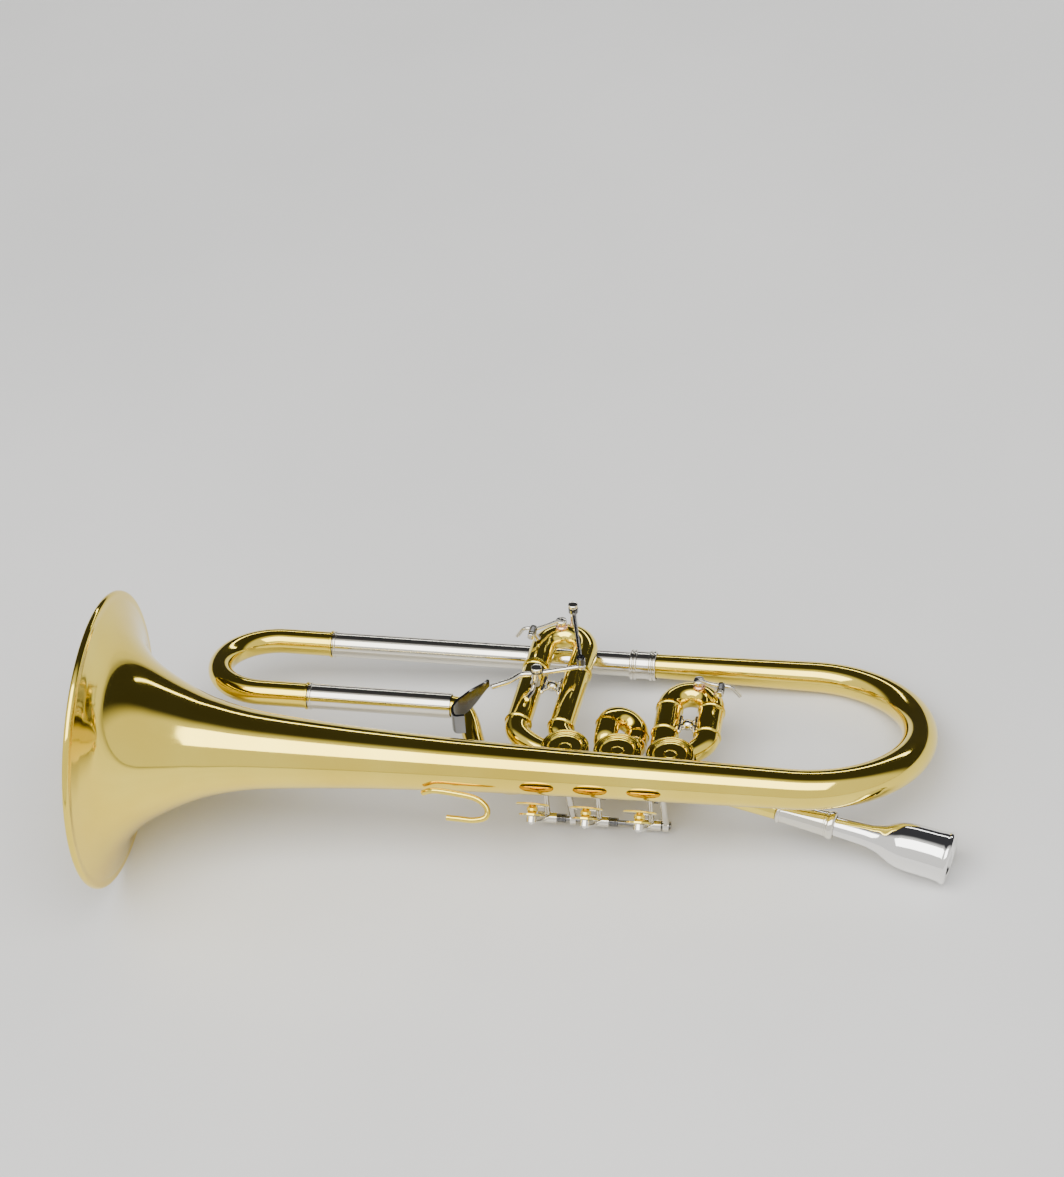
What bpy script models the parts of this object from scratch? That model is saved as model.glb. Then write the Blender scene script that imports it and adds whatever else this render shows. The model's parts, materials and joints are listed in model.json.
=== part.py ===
"""Flugelhorn with three rotary valves, lying on its side as it is put down.

The horn is laid out in its own frame, in millimetres: X runs from the bell's rim along the bell tube to
the bow, Y points the way the valve slides come out, and Z is up, away from the key levers. Everything hangs
from one empty that scales millimetres to metres and tips the horn until it rests on the floor.
"""

import math

import bmesh
import bpy
from mathutils import Euler, Matrix, Vector

MM = 0.001
GAP = 0.3                       # clearance left between neighbouring pieces

# Resting attitude of the horn frame
REST_ROLL = math.radians(-3.91)
REST_PITCH = math.radians(4.74)

# Bell and bow
BELL_OUTLINE = [(0, 76), (1.6, 76.9), (3.2, 76), (3.6, 72.5), (6, 65), (11, 54.3), (20, 44),
                (30, 37.2), (44, 30), (56, 25.3), (79, 20.2), (110, 17.3), (150, 14.8),
                (192, 13.1), (250, 11.8), (344, 10.2)]
BELL_WALL = 0.7
RIM_INNER = 73.4                # the rim's flat front face runs from here out to the bead
BELL_END = 344.0
THROAT_X = 56.0                 # where the flare ends and the throat begins
STEM_X = 150.0                  # where the throat ends and the stem begins
BOW_CENTRE_X = 351.5
BOW_RADIUS = 60.0
BOW_TILT = math.radians(-15.0)  # the bow drops from the bell tube to the return tube
BOW_OD_START = 20.2
BOW_OD_MIDDLE = 18.4
BOW_OD_END = 16.0
RETURN_END_X = 262.0
RETURN_END_OD = 12.6
TUBE_WALL = 0.6

# Main tuning slide, between the return tube and the valves
SLEEVE_OD = 13.2
REAR_SLEEVE_X = (92.0, 261.5)
FRONT_LEG = Vector((0, 60, -17))
TUNING_CENTRE_X = 66.0
TUNING_LEG_END_X = 152.0
FRONT_SLEEVE_X = (92.0, 168.0)

# Valves, numbered from the mouthpiece end
VALVE_X = {1: 288.0, 2: 261.0, 3: 234.0}
VALVE_Y = 25.0
VALVE_TOP = -8.2
VALVE_FLOOR = -25.0
VALVE_BASE = -27.0
TUBE_LEVEL = -14.0
CASING_R = 11.8
CASING_BORE = 10.7
ROTOR_R = 10.2                  # its corners turn clear of the flats inside the casing
PORT_R = 5.0
ROTOR_WAY_R = 3.7
SHAFT_R = 2.0
CAP_R = 12.3
# Directions of each valve's four tubes, in degrees round its axis
PORTS = {1: {"a": 118, "b": 45, "in": 315, "out": 225},
         2: {"a": 130, "b": 60, "in": 315, "out": 225},
         3: {"a": 160, "b": 100, "in": 330, "out": 240}}
PORT_START = CASING_R + 0.5     # how far from the valve's axis its tubes begin
PORT_OD = 11.6

# Valve slides: middle line, lean, where the sleeves end, how far the crook reaches
SLIDE_SPACING = {1: 21.8, 3: 22.6}
SLIDE_X = {1: 293.0, 3: 216.5}
SLIDE_LEAN = {1: 0.0, 3: math.radians(3.5)}
SLEEVE_END_Y = {1: 66.0, 3: 88.0}
CROOK_CENTRE_Y = {1: 66.8, 3: 105.0}
INNER_LEG_Y = {1: 48.8, 3: 56.0}
SLIDE_2_LEGS = (Vector((252.5, 0, -11.5)), Vector((267.3, 0, -18.5)))
SLIDE_2_SLEEVE_END = 48.0
SLIDE_2_CENTRE_Y = 48.6
SLIDE_2_OD = 12.0

# Leadpipe line, receiver and mouthpiece
LEAD_START = Vector((312, 10.5, -16.0))
LEAD_END = Vector((374, -1, -22.5))
RECEIVER_LENGTH = 30.0
MOUTHPIECE_REACH = 60.0

# Keys
AXLE = Vector((0, 14, -47))     # the levers' common axle, along X
AXLE_R = 1.3
HUB_R = 3.0
CRANK = 18.0                    # from the axle up to the link
PIN_RADIUS = 4.0                # from the rotor's axis to the link's pin
LINK_LEVEL = AXLE.z + CRANK
TOUCH = Vector((0, -20.5, -7.0))
TOUCH_R = 8.7

# Slide trigger
TRIGGER_PIVOT = Vector((212.5, 71, 0))
TRIGGER_TIP = Vector((234.6, 78.5, 0))
TRIGGER_KNEE = Vector((204, 69, 0))
TRIGGER_SADDLE = Vector((190.5, 58.5, 0))  # where the thumb arm meets the saddle
CROOK_POST = Vector((224.4, 118, 0))
SPOUT_OFFSET = 3.2              # of a water spout from its crook's middle line

# How many flats a round piece has, and how many steps a crook's half circle has
TUBE_SIDES = 10
VALVE_SIDES = 14
BELL_SIDES = 24
EYE_SIDES = 8
SMALL_SIDES = 6
CROOK_STEPS = 12
TUNING_STEPS = 10


def clear_scene():
    for leftover in list(bpy.data.objects):
        bpy.data.objects.remove(leftover)


def make_material(name, colour, roughness, metallic=1.0):
    material = bpy.data.materials.new(name)
    material.use_nodes = True
    shader = material.node_tree.nodes["Principled BSDF"]
    shader.inputs["Base Color"].default_value = (*colour, 1.0)
    shader.inputs["Roughness"].default_value = roughness
    shader.inputs["Metallic"].default_value = metallic
    material.diffuse_color = (*colour, 1.0)
    return material


def make_materials():
    return {
        "brass": make_material("lacquered_brass", (0.86, 0.66, 0.30), 0.12),
        "nickel": make_material("nickel_silver", (0.76, 0.74, 0.68), 0.16),
        "steel": make_material("polished_steel", (0.62, 0.62, 0.62), 0.14),
        "silver": make_material("silver_plate", (0.88, 0.87, 0.84), 0.08),
    }


class Horn:
    """Keeps the root empty and the materials, and turns a finished bmesh into a placed object."""

    def __init__(self):
        self.materials = make_materials()
        self.root = bpy.data.objects.new("horn_rest", None)
        self.root.rotation_euler = Euler((REST_ROLL, REST_PITCH, 0))
        self.root.scale = (MM, MM, MM)
        bpy.context.collection.objects.link(self.root)

    def add(self, name, mesh_data, material, origin=Vector()):
        """The mesh is given in horn coordinates; the object's origin goes to the point given."""
        mesh_data.transform(Matrix.Translation(-Vector(origin)))
        mesh_data.name = name
        mesh_data.materials.clear()
        mesh_data.materials.append(self.materials[material])
        mesh_data.shade_smooth()
        mesh_data.set_sharp_from_angle(angle=math.radians(35))
        piece = bpy.data.objects.new(name, mesh_data)
        bpy.context.collection.objects.link(piece)
        piece.parent = self.root
        piece.location = origin
        return piece


def finish(bm):
    bmesh.ops.recalc_face_normals(bm, faces=bm.faces)
    mesh_data = bpy.data.meshes.new("piece")
    bm.to_mesh(mesh_data)
    bm.free()
    return mesh_data


def ring_frames(path):
    """A square-on frame at each point of a path, carried along without twist."""
    points = [Vector(p) for p in path]
    last = len(points) - 1
    tangents = [(points[min(i + 1, last)] - points[max(i - 1, 0)]).normalized() for i in range(last + 1)]
    side = tangents[0].orthogonal().normalized()
    frames = []
    for point, tangent in zip(points, tangents):
        side = (side - tangent * side.dot(tangent)).normalized()
        frames.append((point, side, tangent.cross(side)))
    return frames


def sweep(path, outer, inner=None, sides=TUBE_SIDES):
    """A round rod along the path, or a tube when inner radii are given too."""
    frames = ring_frames(path)
    outer = outer if isinstance(outer, list) else [outer] * len(frames)
    rounds = list(zip(frames, outer))
    if inner is not None:
        inner = inner if isinstance(inner, list) else [inner] * len(frames)
        rounds += list(zip(frames, inner))[::-1]
    bm = bmesh.new()
    rings = []
    for (point, side, up), radius in rounds:
        ring = []
        for k in range(sides):
            angle = math.tau * k / sides
            ring.append(bm.verts.new(point + radius * (math.cos(angle) * side + math.sin(angle) * up)))
        rings.append(ring)
    pairs = list(zip(rings, rings[1:]))
    if inner is not None:
        pairs.append((rings[-1], rings[0]))
    else:
        bm.faces.new(rings[0])
        bm.faces.new(rings[-1])
    for first, second in pairs:
        for k in range(sides):
            n = (k + 1) % sides
            bm.faces.new((first[k], first[n], second[n], second[k]))
    return finish(bm)


def turn_hollow(start, direction, profile, sides=TUBE_SIDES, closed=True):
    """A shape turned about a line; the profile is a loop of (distance along the line, radius)."""
    start, direction = Vector(start), Vector(direction).normalized()
    side = direction.orthogonal().normalized()
    up = direction.cross(side)
    bm = bmesh.new()
    rings = []
    for along, radius in profile:
        ring = []
        for k in range(sides):
            angle = math.tau * k / sides
            ring.append(bm.verts.new(start + along * direction
                                     + radius * (math.cos(angle) * side + math.sin(angle) * up)))
        rings.append(ring)
    for first, second in zip(rings, rings[1:] + (rings[:1] if closed else [])):
        for k in range(sides):
            n = (k + 1) % sides
            bm.faces.new((first[k], first[n], second[n], second[k]))
    if not closed:
        bm.faces.new(rings[0])
        bm.faces.new(rings[-1])
    return finish(bm)


def turn(start, direction, profile, sides=TUBE_SIDES):
    """A solid turned about a line, closed by a flat disc at each end."""
    return turn_hollow(start, direction, profile, sides, closed=False)


def combine(base, tools, operation="UNION"):
    """Joins tools to a mesh, or cuts them from it, and returns the resulting mesh."""
    target = bpy.data.objects.new("target", base)
    bpy.context.collection.objects.link(target)
    helpers = []
    for tool in tools:
        helper = bpy.data.objects.new("helper", tool)
        bpy.context.collection.objects.link(helper)
        modifier = target.modifiers.new("combine", "BOOLEAN")
        modifier.operation = operation
        modifier.solver = "EXACT"
        modifier.object = helper
        helpers.append(helper)
    evaluated = target.evaluated_get(bpy.context.evaluated_depsgraph_get())
    result = bpy.data.meshes.new_from_object(evaluated)
    for done in [target] + helpers:
        bpy.data.objects.remove(done)
    return result


def curve_through(points, per_span=4):
    """A smooth route through hand-placed points."""
    points = [Vector(p) for p in points]
    ends = [2 * points[0] - points[1]] + points + [2 * points[-1] - points[-2]]
    route = []
    for a, b, c, d in zip(ends, ends[1:], ends[2:], ends[3:]):
        for k in range(per_span):
            t = k / per_span
            route.append(0.5 * (2 * b + (c - a) * t + (2 * a - 5 * b + 4 * c - d) * t * t
                                + (3 * b - a - 3 * c + d) * t ** 3))
    route.append(points[-1])
    return route


def bend_between(start, start_way, end, end_way, steps=5):
    """A smooth bend that leaves one point and reaches another in given directions."""
    start, end = Vector(start), Vector(end)
    pull = (end - start).length
    route = []
    for k in range(steps + 1):
        t = k / steps
        route.append((2 * t ** 3 - 3 * t ** 2 + 1) * start + (t ** 3 - 2 * t ** 2 + t) * pull * start_way
                     + (3 * t ** 2 - 2 * t ** 3) * end + (t ** 3 - t ** 2) * pull * end_way)
    return route


def arc(centre, first, second, radius, start_deg, end_deg, steps):
    """Points on a circle in the plane of two unit vectors."""
    centre, first, second = Vector(centre), Vector(first), Vector(second)
    points = []
    for k in range(steps + 1):
        angle = math.radians(start_deg + (end_deg - start_deg) * k / steps)
        points.append(centre + radius * (math.cos(angle) * first + math.sin(angle) * second))
    return points


def mix(a, b, t):
    return a + (b - a) * t


# ---------------------------------------------------------------- bell, bow and main tuning slide

def return_line():
    """Y and Z of the return tube's straight line."""
    drop = Vector((0, math.cos(BOW_TILT), math.sin(BOW_TILT)))
    return 2 * BOW_RADIUS * drop


def bell_radius(x):
    """The bell's outer radius, straight between the outline's points."""
    for (start, first), (end, second) in zip(BELL_OUTLINE, BELL_OUTLINE[1:]):
        if start <= x <= end:
            return mix(first, second, (x - start) / (end - start))
    return BELL_OUTLINE[-1][1]


def make_bell(horn):
    """The flare, then the throat and the stem, in three lengths that each keep their own hollow."""
    flare = [(x, r) for x, r in BELL_OUTLINE if x <= THROAT_X]
    inner = [(x, r - BELL_WALL) for x, r in flare[4:]]
    profile = flare + inner[::-1] + [(2.0, RIM_INNER - 1.5), (0, RIM_INNER)]
    horn.add("bell", turn_hollow((0, 0, 0), (1, 0, 0), profile, BELL_SIDES), "brass")
    for name, start, end in (("bell_throat", THROAT_X, STEM_X), ("bell_stem", STEM_X, BELL_END)):
        outer = [(start + GAP, bell_radius(start + GAP))]
        outer += [(x, r) for x, r in BELL_OUTLINE if start < x <= end]
        inner = [(x, r - BELL_WALL) for x, r in outer]
        horn.add(name, turn_hollow((0, 0, 0), (1, 0, 0), outer + inner[::-1], BELL_SIDES), "brass")


def make_bow(horn):
    across = Vector((0, math.cos(BOW_TILT), math.sin(BOW_TILT)))
    centre = Vector((BOW_CENTRE_X, 0, 0)) + BOW_RADIUS * across
    path = [Vector((BELL_END + GAP, 0, 0))]
    path += arc(centre, -across, (1, 0, 0), BOW_RADIUS, 0, 180, 14)
    end = return_line()
    path += [Vector((mix(BOW_CENTRE_X, RETURN_END_X + GAP, t), end.y, end.z)) for t in (0.5, 1.0)]
    outer = [BOW_OD_START / 2]
    outer += [mix(BOW_OD_START, BOW_OD_MIDDLE, k / 7) / 2 for k in range(7)]
    outer += [mix(BOW_OD_MIDDLE, BOW_OD_END, k / 7) / 2 for k in range(8)]
    outer += [mix(BOW_OD_END, RETURN_END_OD, t) / 2 for t in (0.6, 1.0)]
    inner = [r - TUBE_WALL for r in outer]
    horn.add("bell_bow", sweep(path, outer, inner), "brass")


def make_tail_ferrule(horn):
    line = return_line()
    bore = SLEEVE_OD / 2 + GAP
    profile = [(0, bore + 1.5), (1.5, bore + 1.5), (2, bore + 0.8), (12, bore + 0.8), (12.5, bore + 1.5),
               (14, bore + 1.5), (14, bore), (0, bore)]
    start = (RETURN_END_X - 8, line.y, line.z)
    horn.add("tail_ferrule", turn_hollow(start, (1, 0, 0), profile), "nickel")


def sleeve_mesh(start, direction, length, od, ring_at=()):
    """A slide's outer tube with raised end rings."""
    outer = od / 2
    bore = outer - TUBE_WALL
    profile = [(0, outer)]
    for place in ring_at:
        profile += [(place - 1.2, outer), (place - 1.0, outer + 0.6), (place, outer + 0.6),
                    (place + 0.2, outer)]
    profile += [(length, outer), (length, bore), (0, bore)]
    return turn_hollow(start, direction, profile)


def make_rear_sleeve(horn):
    line = return_line()
    start, end = REAR_SLEEVE_X
    mesh_data = sleeve_mesh((end, line.y, line.z), (-1, 0, 0), end - start, SLEEVE_OD, (end - start - 0.5,))
    horn.add("rear_slide_sleeve", mesh_data, "nickel")


def make_front_sleeve(horn):
    start, end = FRONT_SLEEVE_X
    mesh_data = sleeve_mesh((end, FRONT_LEG.y, FRONT_LEG.z), (-1, 0, 0), end - start, SLEEVE_OD,
                            (end - start - 0.5,))
    horn.add("front_slide_sleeve", mesh_data, "nickel")


def crook_mesh(leg_a, leg_b, out, u_reach, leg_back, steps=CROOK_STEPS, crook_od=SLEEVE_OD):
    """A slide's moving piece: two thin legs, a ferrule step, and a half-round crook joining them.

    leg_a and leg_b are where the crook's half circle begins; out is the direction it points. The step
    from thin leg to crook lies u_reach back from there, and the legs run leg_back further.
    """
    middle = (leg_a + leg_b) / 2
    across = (leg_a - middle).normalized()
    half = arc(middle, across, out, (leg_a - middle).length, 0, 180, steps)
    thin, thick = crook_od / 2 - 1.2, crook_od / 2
    path = [leg_a - out * (u_reach + leg_back), leg_a - out * (u_reach + 0.05), leg_a - out * u_reach]
    outer = [thin, thin, thick + 0.5]
    if u_reach > 2.5:
        path += [leg_a - out * (u_reach - 1.5), leg_a - out * (u_reach - 1.6)]
        outer += [thick + 0.5, thick]
    ways = [out] * len(path)
    ways += [out * math.cos(math.pi * k / steps) - across * math.sin(math.pi * k / steps)
             for k in range(steps + 1)]
    tail = [leg_b + (p - leg_a) for p in path]
    path += half + tail[::-1]
    outer += [thick] * len(half) + outer[::-1]
    ways += [-out] * len(tail)
    return sweep_fixed(path, ways, across.cross(out).normalized(), outer, thin - TUBE_WALL)


def sweep_fixed(path, ways, normal, outer, bore):
    """A tube whose path lies in one plane, with each ring square to a given direction."""
    bm = bmesh.new()
    frames = [(point, normal, way.cross(normal)) for point, way in zip(path, ways)]
    rings = []
    for (point, side, up), radius in list(zip(frames, outer)) + [(frame, bore) for frame in frames[::-1]]:
        ring = []
        for k in range(TUBE_SIDES):
            angle = math.tau * k / TUBE_SIDES
            ring.append(bm.verts.new(point + radius * (math.cos(angle) * side + math.sin(angle) * up)))
        rings.append(ring)
    for first, second in zip(rings, rings[1:] + rings[:1]):
        for k in range(TUBE_SIDES):
            n = (k + 1) % TUBE_SIDES
            bm.faces.new((first[k], first[n], second[n], second[k]))
    return finish(bm)


def make_tuning_slide(horn):
    line = return_line()
    leg_a = Vector((TUNING_CENTRE_X, line.y, line.z))
    leg_b = Vector((TUNING_CENTRE_X, FRONT_LEG.y, FRONT_LEG.z))
    step_back = REAR_SLEEVE_X[0] - GAP - TUNING_CENTRE_X
    mesh_data = crook_mesh(leg_a, leg_b, Vector((-1, 0, 0)), step_back,
                           TUNING_LEG_END_X - REAR_SLEEVE_X[0], TUNING_STEPS)
    horn.add("main_tuning_slide", mesh_data, "brass", leg_a)


# ---------------------------------------------------------------- valves and the tubes between them

def way_out(number, port):
    angle = math.radians(PORTS[number][port])
    return Vector((math.cos(angle), math.sin(angle), 0))


def port_point(number, port, reach=PORT_START):
    return Vector((VALVE_X[number], VALVE_Y, TUBE_LEVEL)) + reach * way_out(number, port)


def trim_to_valves(mesh_data):
    """Cuts a tube back from the casings it comes close to."""
    wide = CASING_R + GAP
    cutters = [turn((x, VALVE_Y, VALVE_TOP + 3), (0, 0, -1), [(0, wide), (32, wide)], 2 * VALVE_SIDES)
               for x in VALVE_X.values()]
    return combine(mesh_data, cutters, "DIFFERENCE")


def make_casing(horn, number):
    start = (VALVE_X[number], VALVE_Y, VALVE_TOP)
    depth = VALVE_TOP - VALVE_FLOOR
    full = VALVE_TOP - VALVE_BASE
    profile = [(0, CASING_R), (full, CASING_R), (full, SHAFT_R + GAP), (depth, SHAFT_R + GAP),
               (depth, CASING_BORE), (0, CASING_BORE)]
    shell = turn_hollow(start, (0, 0, -1), profile, VALVE_SIDES)
    cutters = [sweep([port_point(number, port, 6), port_point(number, port, 16)], PORT_R, sides=EYE_SIDES)
               for port in PORTS[number]]
    horn.add(f"valve_casing_{number}", combine(shell, cutters, "DIFFERENCE"), "brass", start)


def make_rotor(horn, number):
    axis = Vector((VALVE_X[number], VALVE_Y, VALVE_FLOOR + GAP))
    height = VALVE_TOP - VALVE_FLOOR - 2 * GAP
    body = turn(axis, (0, 0, 1), [(0, ROTOR_R), (height, ROTOR_R)], VALVE_SIDES)
    ways = []
    for pair in (("a", "b"), ("in", "out")):
        outward = (way_out(number, pair[0]) + way_out(number, pair[1])).normalized()
        corner = Vector((axis.x, axis.y, TUBE_LEVEL)) + outward * ROTOR_R * math.sqrt(2)
        bend = arc(corner, -outward, Vector((outward.y, -outward.x, 0)), ROTOR_R, -48, 48, 4)
        ways.append(sweep(bend, ROTOR_WAY_R, sides=SMALL_SIDES))
    horn.add(f"valve_rotor_{number}", combine(body, ways, "DIFFERENCE"), "steel", axis)


def make_cap(horn, number):
    base = (VALVE_X[number], VALVE_Y, VALVE_TOP + GAP)
    profile = [(0, CAP_R), (1.8, CAP_R), (2.4, CAP_R - 0.6), (2.4, CAP_R - 1.4), (1.6, CAP_R - 2.2),
               (1.6, CAP_R - 3.6), (2.0, CAP_R - 4.4), (2.0, 2.5)]
    horn.add(f"valve_cap_{number}", turn(base, (0, 0, 1), profile, VALVE_SIDES), "nickel")


def make_stop_arm(horn, number):
    """The rotor's shaft with the arm under the casing that the key's link turns."""
    axis = Vector((VALVE_X[number], VALVE_Y, VALVE_FLOOR + GAP / 2))
    shaft = turn((axis.x, axis.y, VALVE_FLOOR), (0, 0, -1), [(0, SHAFT_R), (5.6, SHAFT_R)], SMALL_SIDES)
    hub = turn((axis.x, axis.y, VALVE_BASE - GAP), (0, 0, -1), [(0, 3.4), (3.2, 3.4)], SMALL_SIDES)
    pin = pin_point(number)
    arm = turn((pin.x, pin.y, VALVE_BASE - GAP), (0, 0, -1), [(0, 2.2), (1.6, 2.2), (1.6, 1.0), (3.6, 1.0)],
               12)
    horn.add(f"stop_arm_{number}", combine(shaft, [hub, arm]), "nickel", axis)


def pin_point(number):
    """Where the link meets the stop arm at rest; the pull turns it a quarter turn about the rotor."""
    swing = PIN_RADIUS * math.sqrt(0.5)
    return Vector((VALVE_X[number] - swing, VALVE_Y + swing, LINK_LEVEL))


def make_valve_link(horn, left):
    """The short bend that joins a valve to the next one along, under the bell tube."""
    right = left - 1
    start = port_point(right, "out", PORT_START + 0.4)
    end = port_point(left, "in", PORT_START + 0.6)
    path = bend_between(start, way_out(right, "out"), end, -way_out(left, "in"), 5)
    horn.add(f"valve_link_{right}{left}", sweep(path, 4.7, 4.1), "brass")


def make_exit_tube(horn):
    start = port_point(3, "out")
    out = way_out(3, "out")
    sleeve_end = Vector((FRONT_SLEEVE_X[1] + GAP, FRONT_LEG.y, FRONT_LEG.z))
    under = Vector((207, 9.5, -20.5))
    rise = Vector((184, 38, -21))
    under_way = Vector((-1, 0.1, -0.1)).normalized()
    rise_way = Vector((-0.4, 0.92, 0.05)).normalized()
    path = bend_between(start, out, under, under_way)[:-1]
    path += bend_between(under, under_way, rise, rise_way)[:-1]
    path += bend_between(rise, rise_way, sleeve_end, Vector((-1, 0, 0)))
    tube = sweep(path, PORT_OD / 2 - 0.4, PORT_OD / 2 - 1.0)
    horn.add("valve_exit_tube", trim_to_valves(tube), "brass")


# ---------------------------------------------------------------- valve slides

def slide_direction(number):
    lean = SLIDE_LEAN[number]
    return Vector((math.sin(lean), math.cos(lean), 0))


def leg_point(number, sign, y):
    """A point on one leg's axis; sign -1 is the leg nearer the bell's rim."""
    out = slide_direction(number)
    across = Vector((out.y, -out.x, 0))
    base = Vector((SLIDE_X[number], 40.0, TUBE_LEVEL))
    return base + out * ((y - 40.0) / out.y) + across * sign * SLIDE_SPACING[number] / 2


def make_slide_sleeves(horn, number):
    out = slide_direction(number)
    for letter, sign in (("a", -1), ("b", 1)):
        port = port_point(number, letter)
        top = leg_point(number, sign, SLEEVE_END_Y[number])
        bend = bend_between(port, way_out(number, letter), leg_point(number, sign, 45.8), out)
        path = bend + [leg_point(number, sign, y) for y in (46, 48, 48.2)] + [top]
        wide = SLEEVE_OD / 2
        grow = len(bend)
        outer = [mix(5.4, wide, k / (grow - 1)) for k in range(grow)]
        outer += [wide + 0.6, wide + 0.6, wide, wide]
        bore = [mix(4.8, wide - 0.5, k / (grow - 1)) for k in range(grow)]
        bore += [wide - 0.5] * 4
        horn.add(f"slide_{number}_sleeve_{letter}", trim_to_valves(sweep(path, outer, bore)), "brass")


def make_slide_crook(horn, number):
    out = slide_direction(number)
    middle_y = CROOK_CENTRE_Y[number]
    leg_a = leg_point(number, -1, middle_y)
    leg_b = leg_point(number, 1, middle_y)
    step_back = middle_y - SLEEVE_END_Y[number] - GAP
    mesh_data = crook_mesh(leg_a, leg_b, out, step_back, SLEEVE_END_Y[number] - INNER_LEG_Y[number], 7)
    horn.add(f"slide_{number}_crook", mesh_data, "brass", leg_a)


def make_slide_2(horn):
    """The short middle slide, its far leg lower than its near one."""
    out = Vector((0, 1, 0))
    wide = SLIDE_2_OD / 2
    for letter, leg in zip("ab", SLIDE_2_LEGS):
        port = port_point(2, letter)
        bend = bend_between(port, way_out(2, letter), leg + out * (SLIDE_2_SLEEVE_END - 6.5), out, 4)
        path = bend + [leg + out * SLIDE_2_SLEEVE_END]
        outer = [mix(5.2, wide, k / 4) for k in range(5)] + [wide]
        tube = sweep(path, outer, [r - TUBE_WALL for r in outer])
        horn.add(f"slide_2_sleeve_{letter}", trim_to_valves(tube), "brass")
    leg_a, leg_b = (leg + out * SLIDE_2_CENTRE_Y for leg in SLIDE_2_LEGS)
    step_back = SLIDE_2_CENTRE_Y - SLIDE_2_SLEEVE_END - GAP
    mesh_data = crook_mesh(leg_a, leg_b, out, step_back, 5.5, 7, SLIDE_2_OD)
    horn.add("slide_2_crook", mesh_data, "brass", leg_a)


def make_slide_brace(horn, number, y):
    """Two struts and a ball between a slide's fixed sleeves."""
    start = leg_point(number, -1, y)
    end = leg_point(number, 1, y)
    reach = (end - start).normalized()
    clear = SLEEVE_OD / 2 + GAP
    length = SLIDE_SPACING[number] - 2 * clear
    third = length / 3
    profile = [(0, 2.6), (0.8, 1.4), (third, 1.2), (third * 1.2, 2.3), (length / 2, 2.9),
               (length - third * 1.2, 2.3), (length - third, 1.2), (length - 0.8, 1.4), (length, 2.6)]
    horn.add(f"slide_brace_{number}", turn(start + reach * clear, reach, profile, EYE_SIDES), "nickel")


# ---------------------------------------------------------------- leadpipe and mouthpiece

def lead_direction():
    return (LEAD_END - LEAD_START).normalized()


def make_leadpipe(horn):
    start = port_point(1, "in")
    run = lead_direction()
    stop = LEAD_END - run * (RECEIVER_LENGTH + GAP)
    path = bend_between(start, way_out(1, "in"), LEAD_START, run, 4) + [mix(LEAD_START, stop, 0.5), stop]
    outer = [mix(PORT_OD / 2 - 0.3, 5.2, k / (len(path) - 1)) for k in range(len(path))]
    horn.add("leadpipe", trim_to_valves(sweep(path, outer, [r - TUBE_WALL for r in outer])), "brass")


def make_receiver(horn):
    run = lead_direction()
    start = LEAD_END - run * RECEIVER_LENGTH
    profile = [(0, 6.2), (2, 6.6), (4, 6.2), (26, 6.4), (27, 7.3), (30, 7.3), (30, 5.4), (0, 4.5)]
    horn.add("mouthpiece_receiver", turn_hollow(start, run, profile), "nickel")


def make_mouthpiece(horn):
    """Held in the receiver by its taper; the throat runs right through."""
    run = lead_direction()
    start = LEAD_END - run * 22
    reach = 22 + MOUTHPIECE_REACH
    profile = [(0, 4.25), (22, 4.95), (30, 5.4), (40, 6.3), (47, 8.6), (54, 11.2), (64, 12.4), (74, 12.9),
               (reach - 3, 13.4), (reach - 1, 13.5), (reach, 12.6), (reach, 10.2), (reach - 2, 8.4),
               (reach - 8, 7.9), (reach - 14, 6.2), (reach - 20, 3.4), (reach - 25, 2.2), (22, 2.6), (0, 3.7)]
    horn.add("mouthpiece", turn_hollow(start, run, profile, VALVE_SIDES), "silver", start)


# ---------------------------------------------------------------- keys

def key_x(number):
    """Each key sits a little to the rim's side of its valve, in line with its link."""
    return pin_point(number).x - 6.5


def make_key_lever(horn, number):
    """A hub on the axle with a long arm to the touchpiece and a short crank to the link."""
    x = key_x(number)
    pivot = Vector((x, AXLE.y, AXLE.z))
    hub = turn_hollow(pivot - Vector((5, 0, 0)), (1, 0, 0), [(0, HUB_R), (10, HUB_R), (10, AXLE_R + GAP),
                                                            (0, AXLE_R + GAP)], EYE_SIDES)
    touch = Vector((x, TOUCH.y, TOUCH.z))
    reach = (touch - pivot).normalized()
    bend = pivot + reach * 28 - touch_normal() * 3.5
    arm = sweep(curve_through([pivot + reach * 2.4, bend, touch - touch_normal() * 6.0], 2), 1.5,
                sides=SMALL_SIDES)
    pad = turn(touch - touch_normal() * 6.4, touch_normal(), [(0, 2.6), (2.8, 2.6)], SMALL_SIDES)
    crank = sweep([pivot + Vector((0, 0, 2.4)), pivot + Vector((0, 0, CRANK + 2.2))], 1.5, sides=SMALL_SIDES)
    horn.add(f"key_lever_{number}", combine(hub, [arm, pad, crank]), "nickel", pivot)


def touch_normal():
    """The way a touchpiece faces: square to its arm, toward the bell tube."""
    reach = (TOUCH - AXLE).normalized()
    return Vector((0, reach.z, -reach.y))


def make_touchpiece(horn, number):
    """Two thin discs with a ball between them."""
    centre = Vector((key_x(number), TOUCH.y, TOUCH.z))
    profile = [(-3.2, 6.6), (-2.4, 6.6), (-2.3, 1.6), (-1.2, 2.5), (0, 2.9), (1.2, 2.5), (1.9, 1.6),
               (2.0, TOUCH_R - 0.4), (2.4, TOUCH_R), (2.9, TOUCH_R - 0.6)]
    horn.add(f"touchpiece_{number}", turn(centre, touch_normal(), profile, TUBE_SIDES), "brass")


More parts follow.
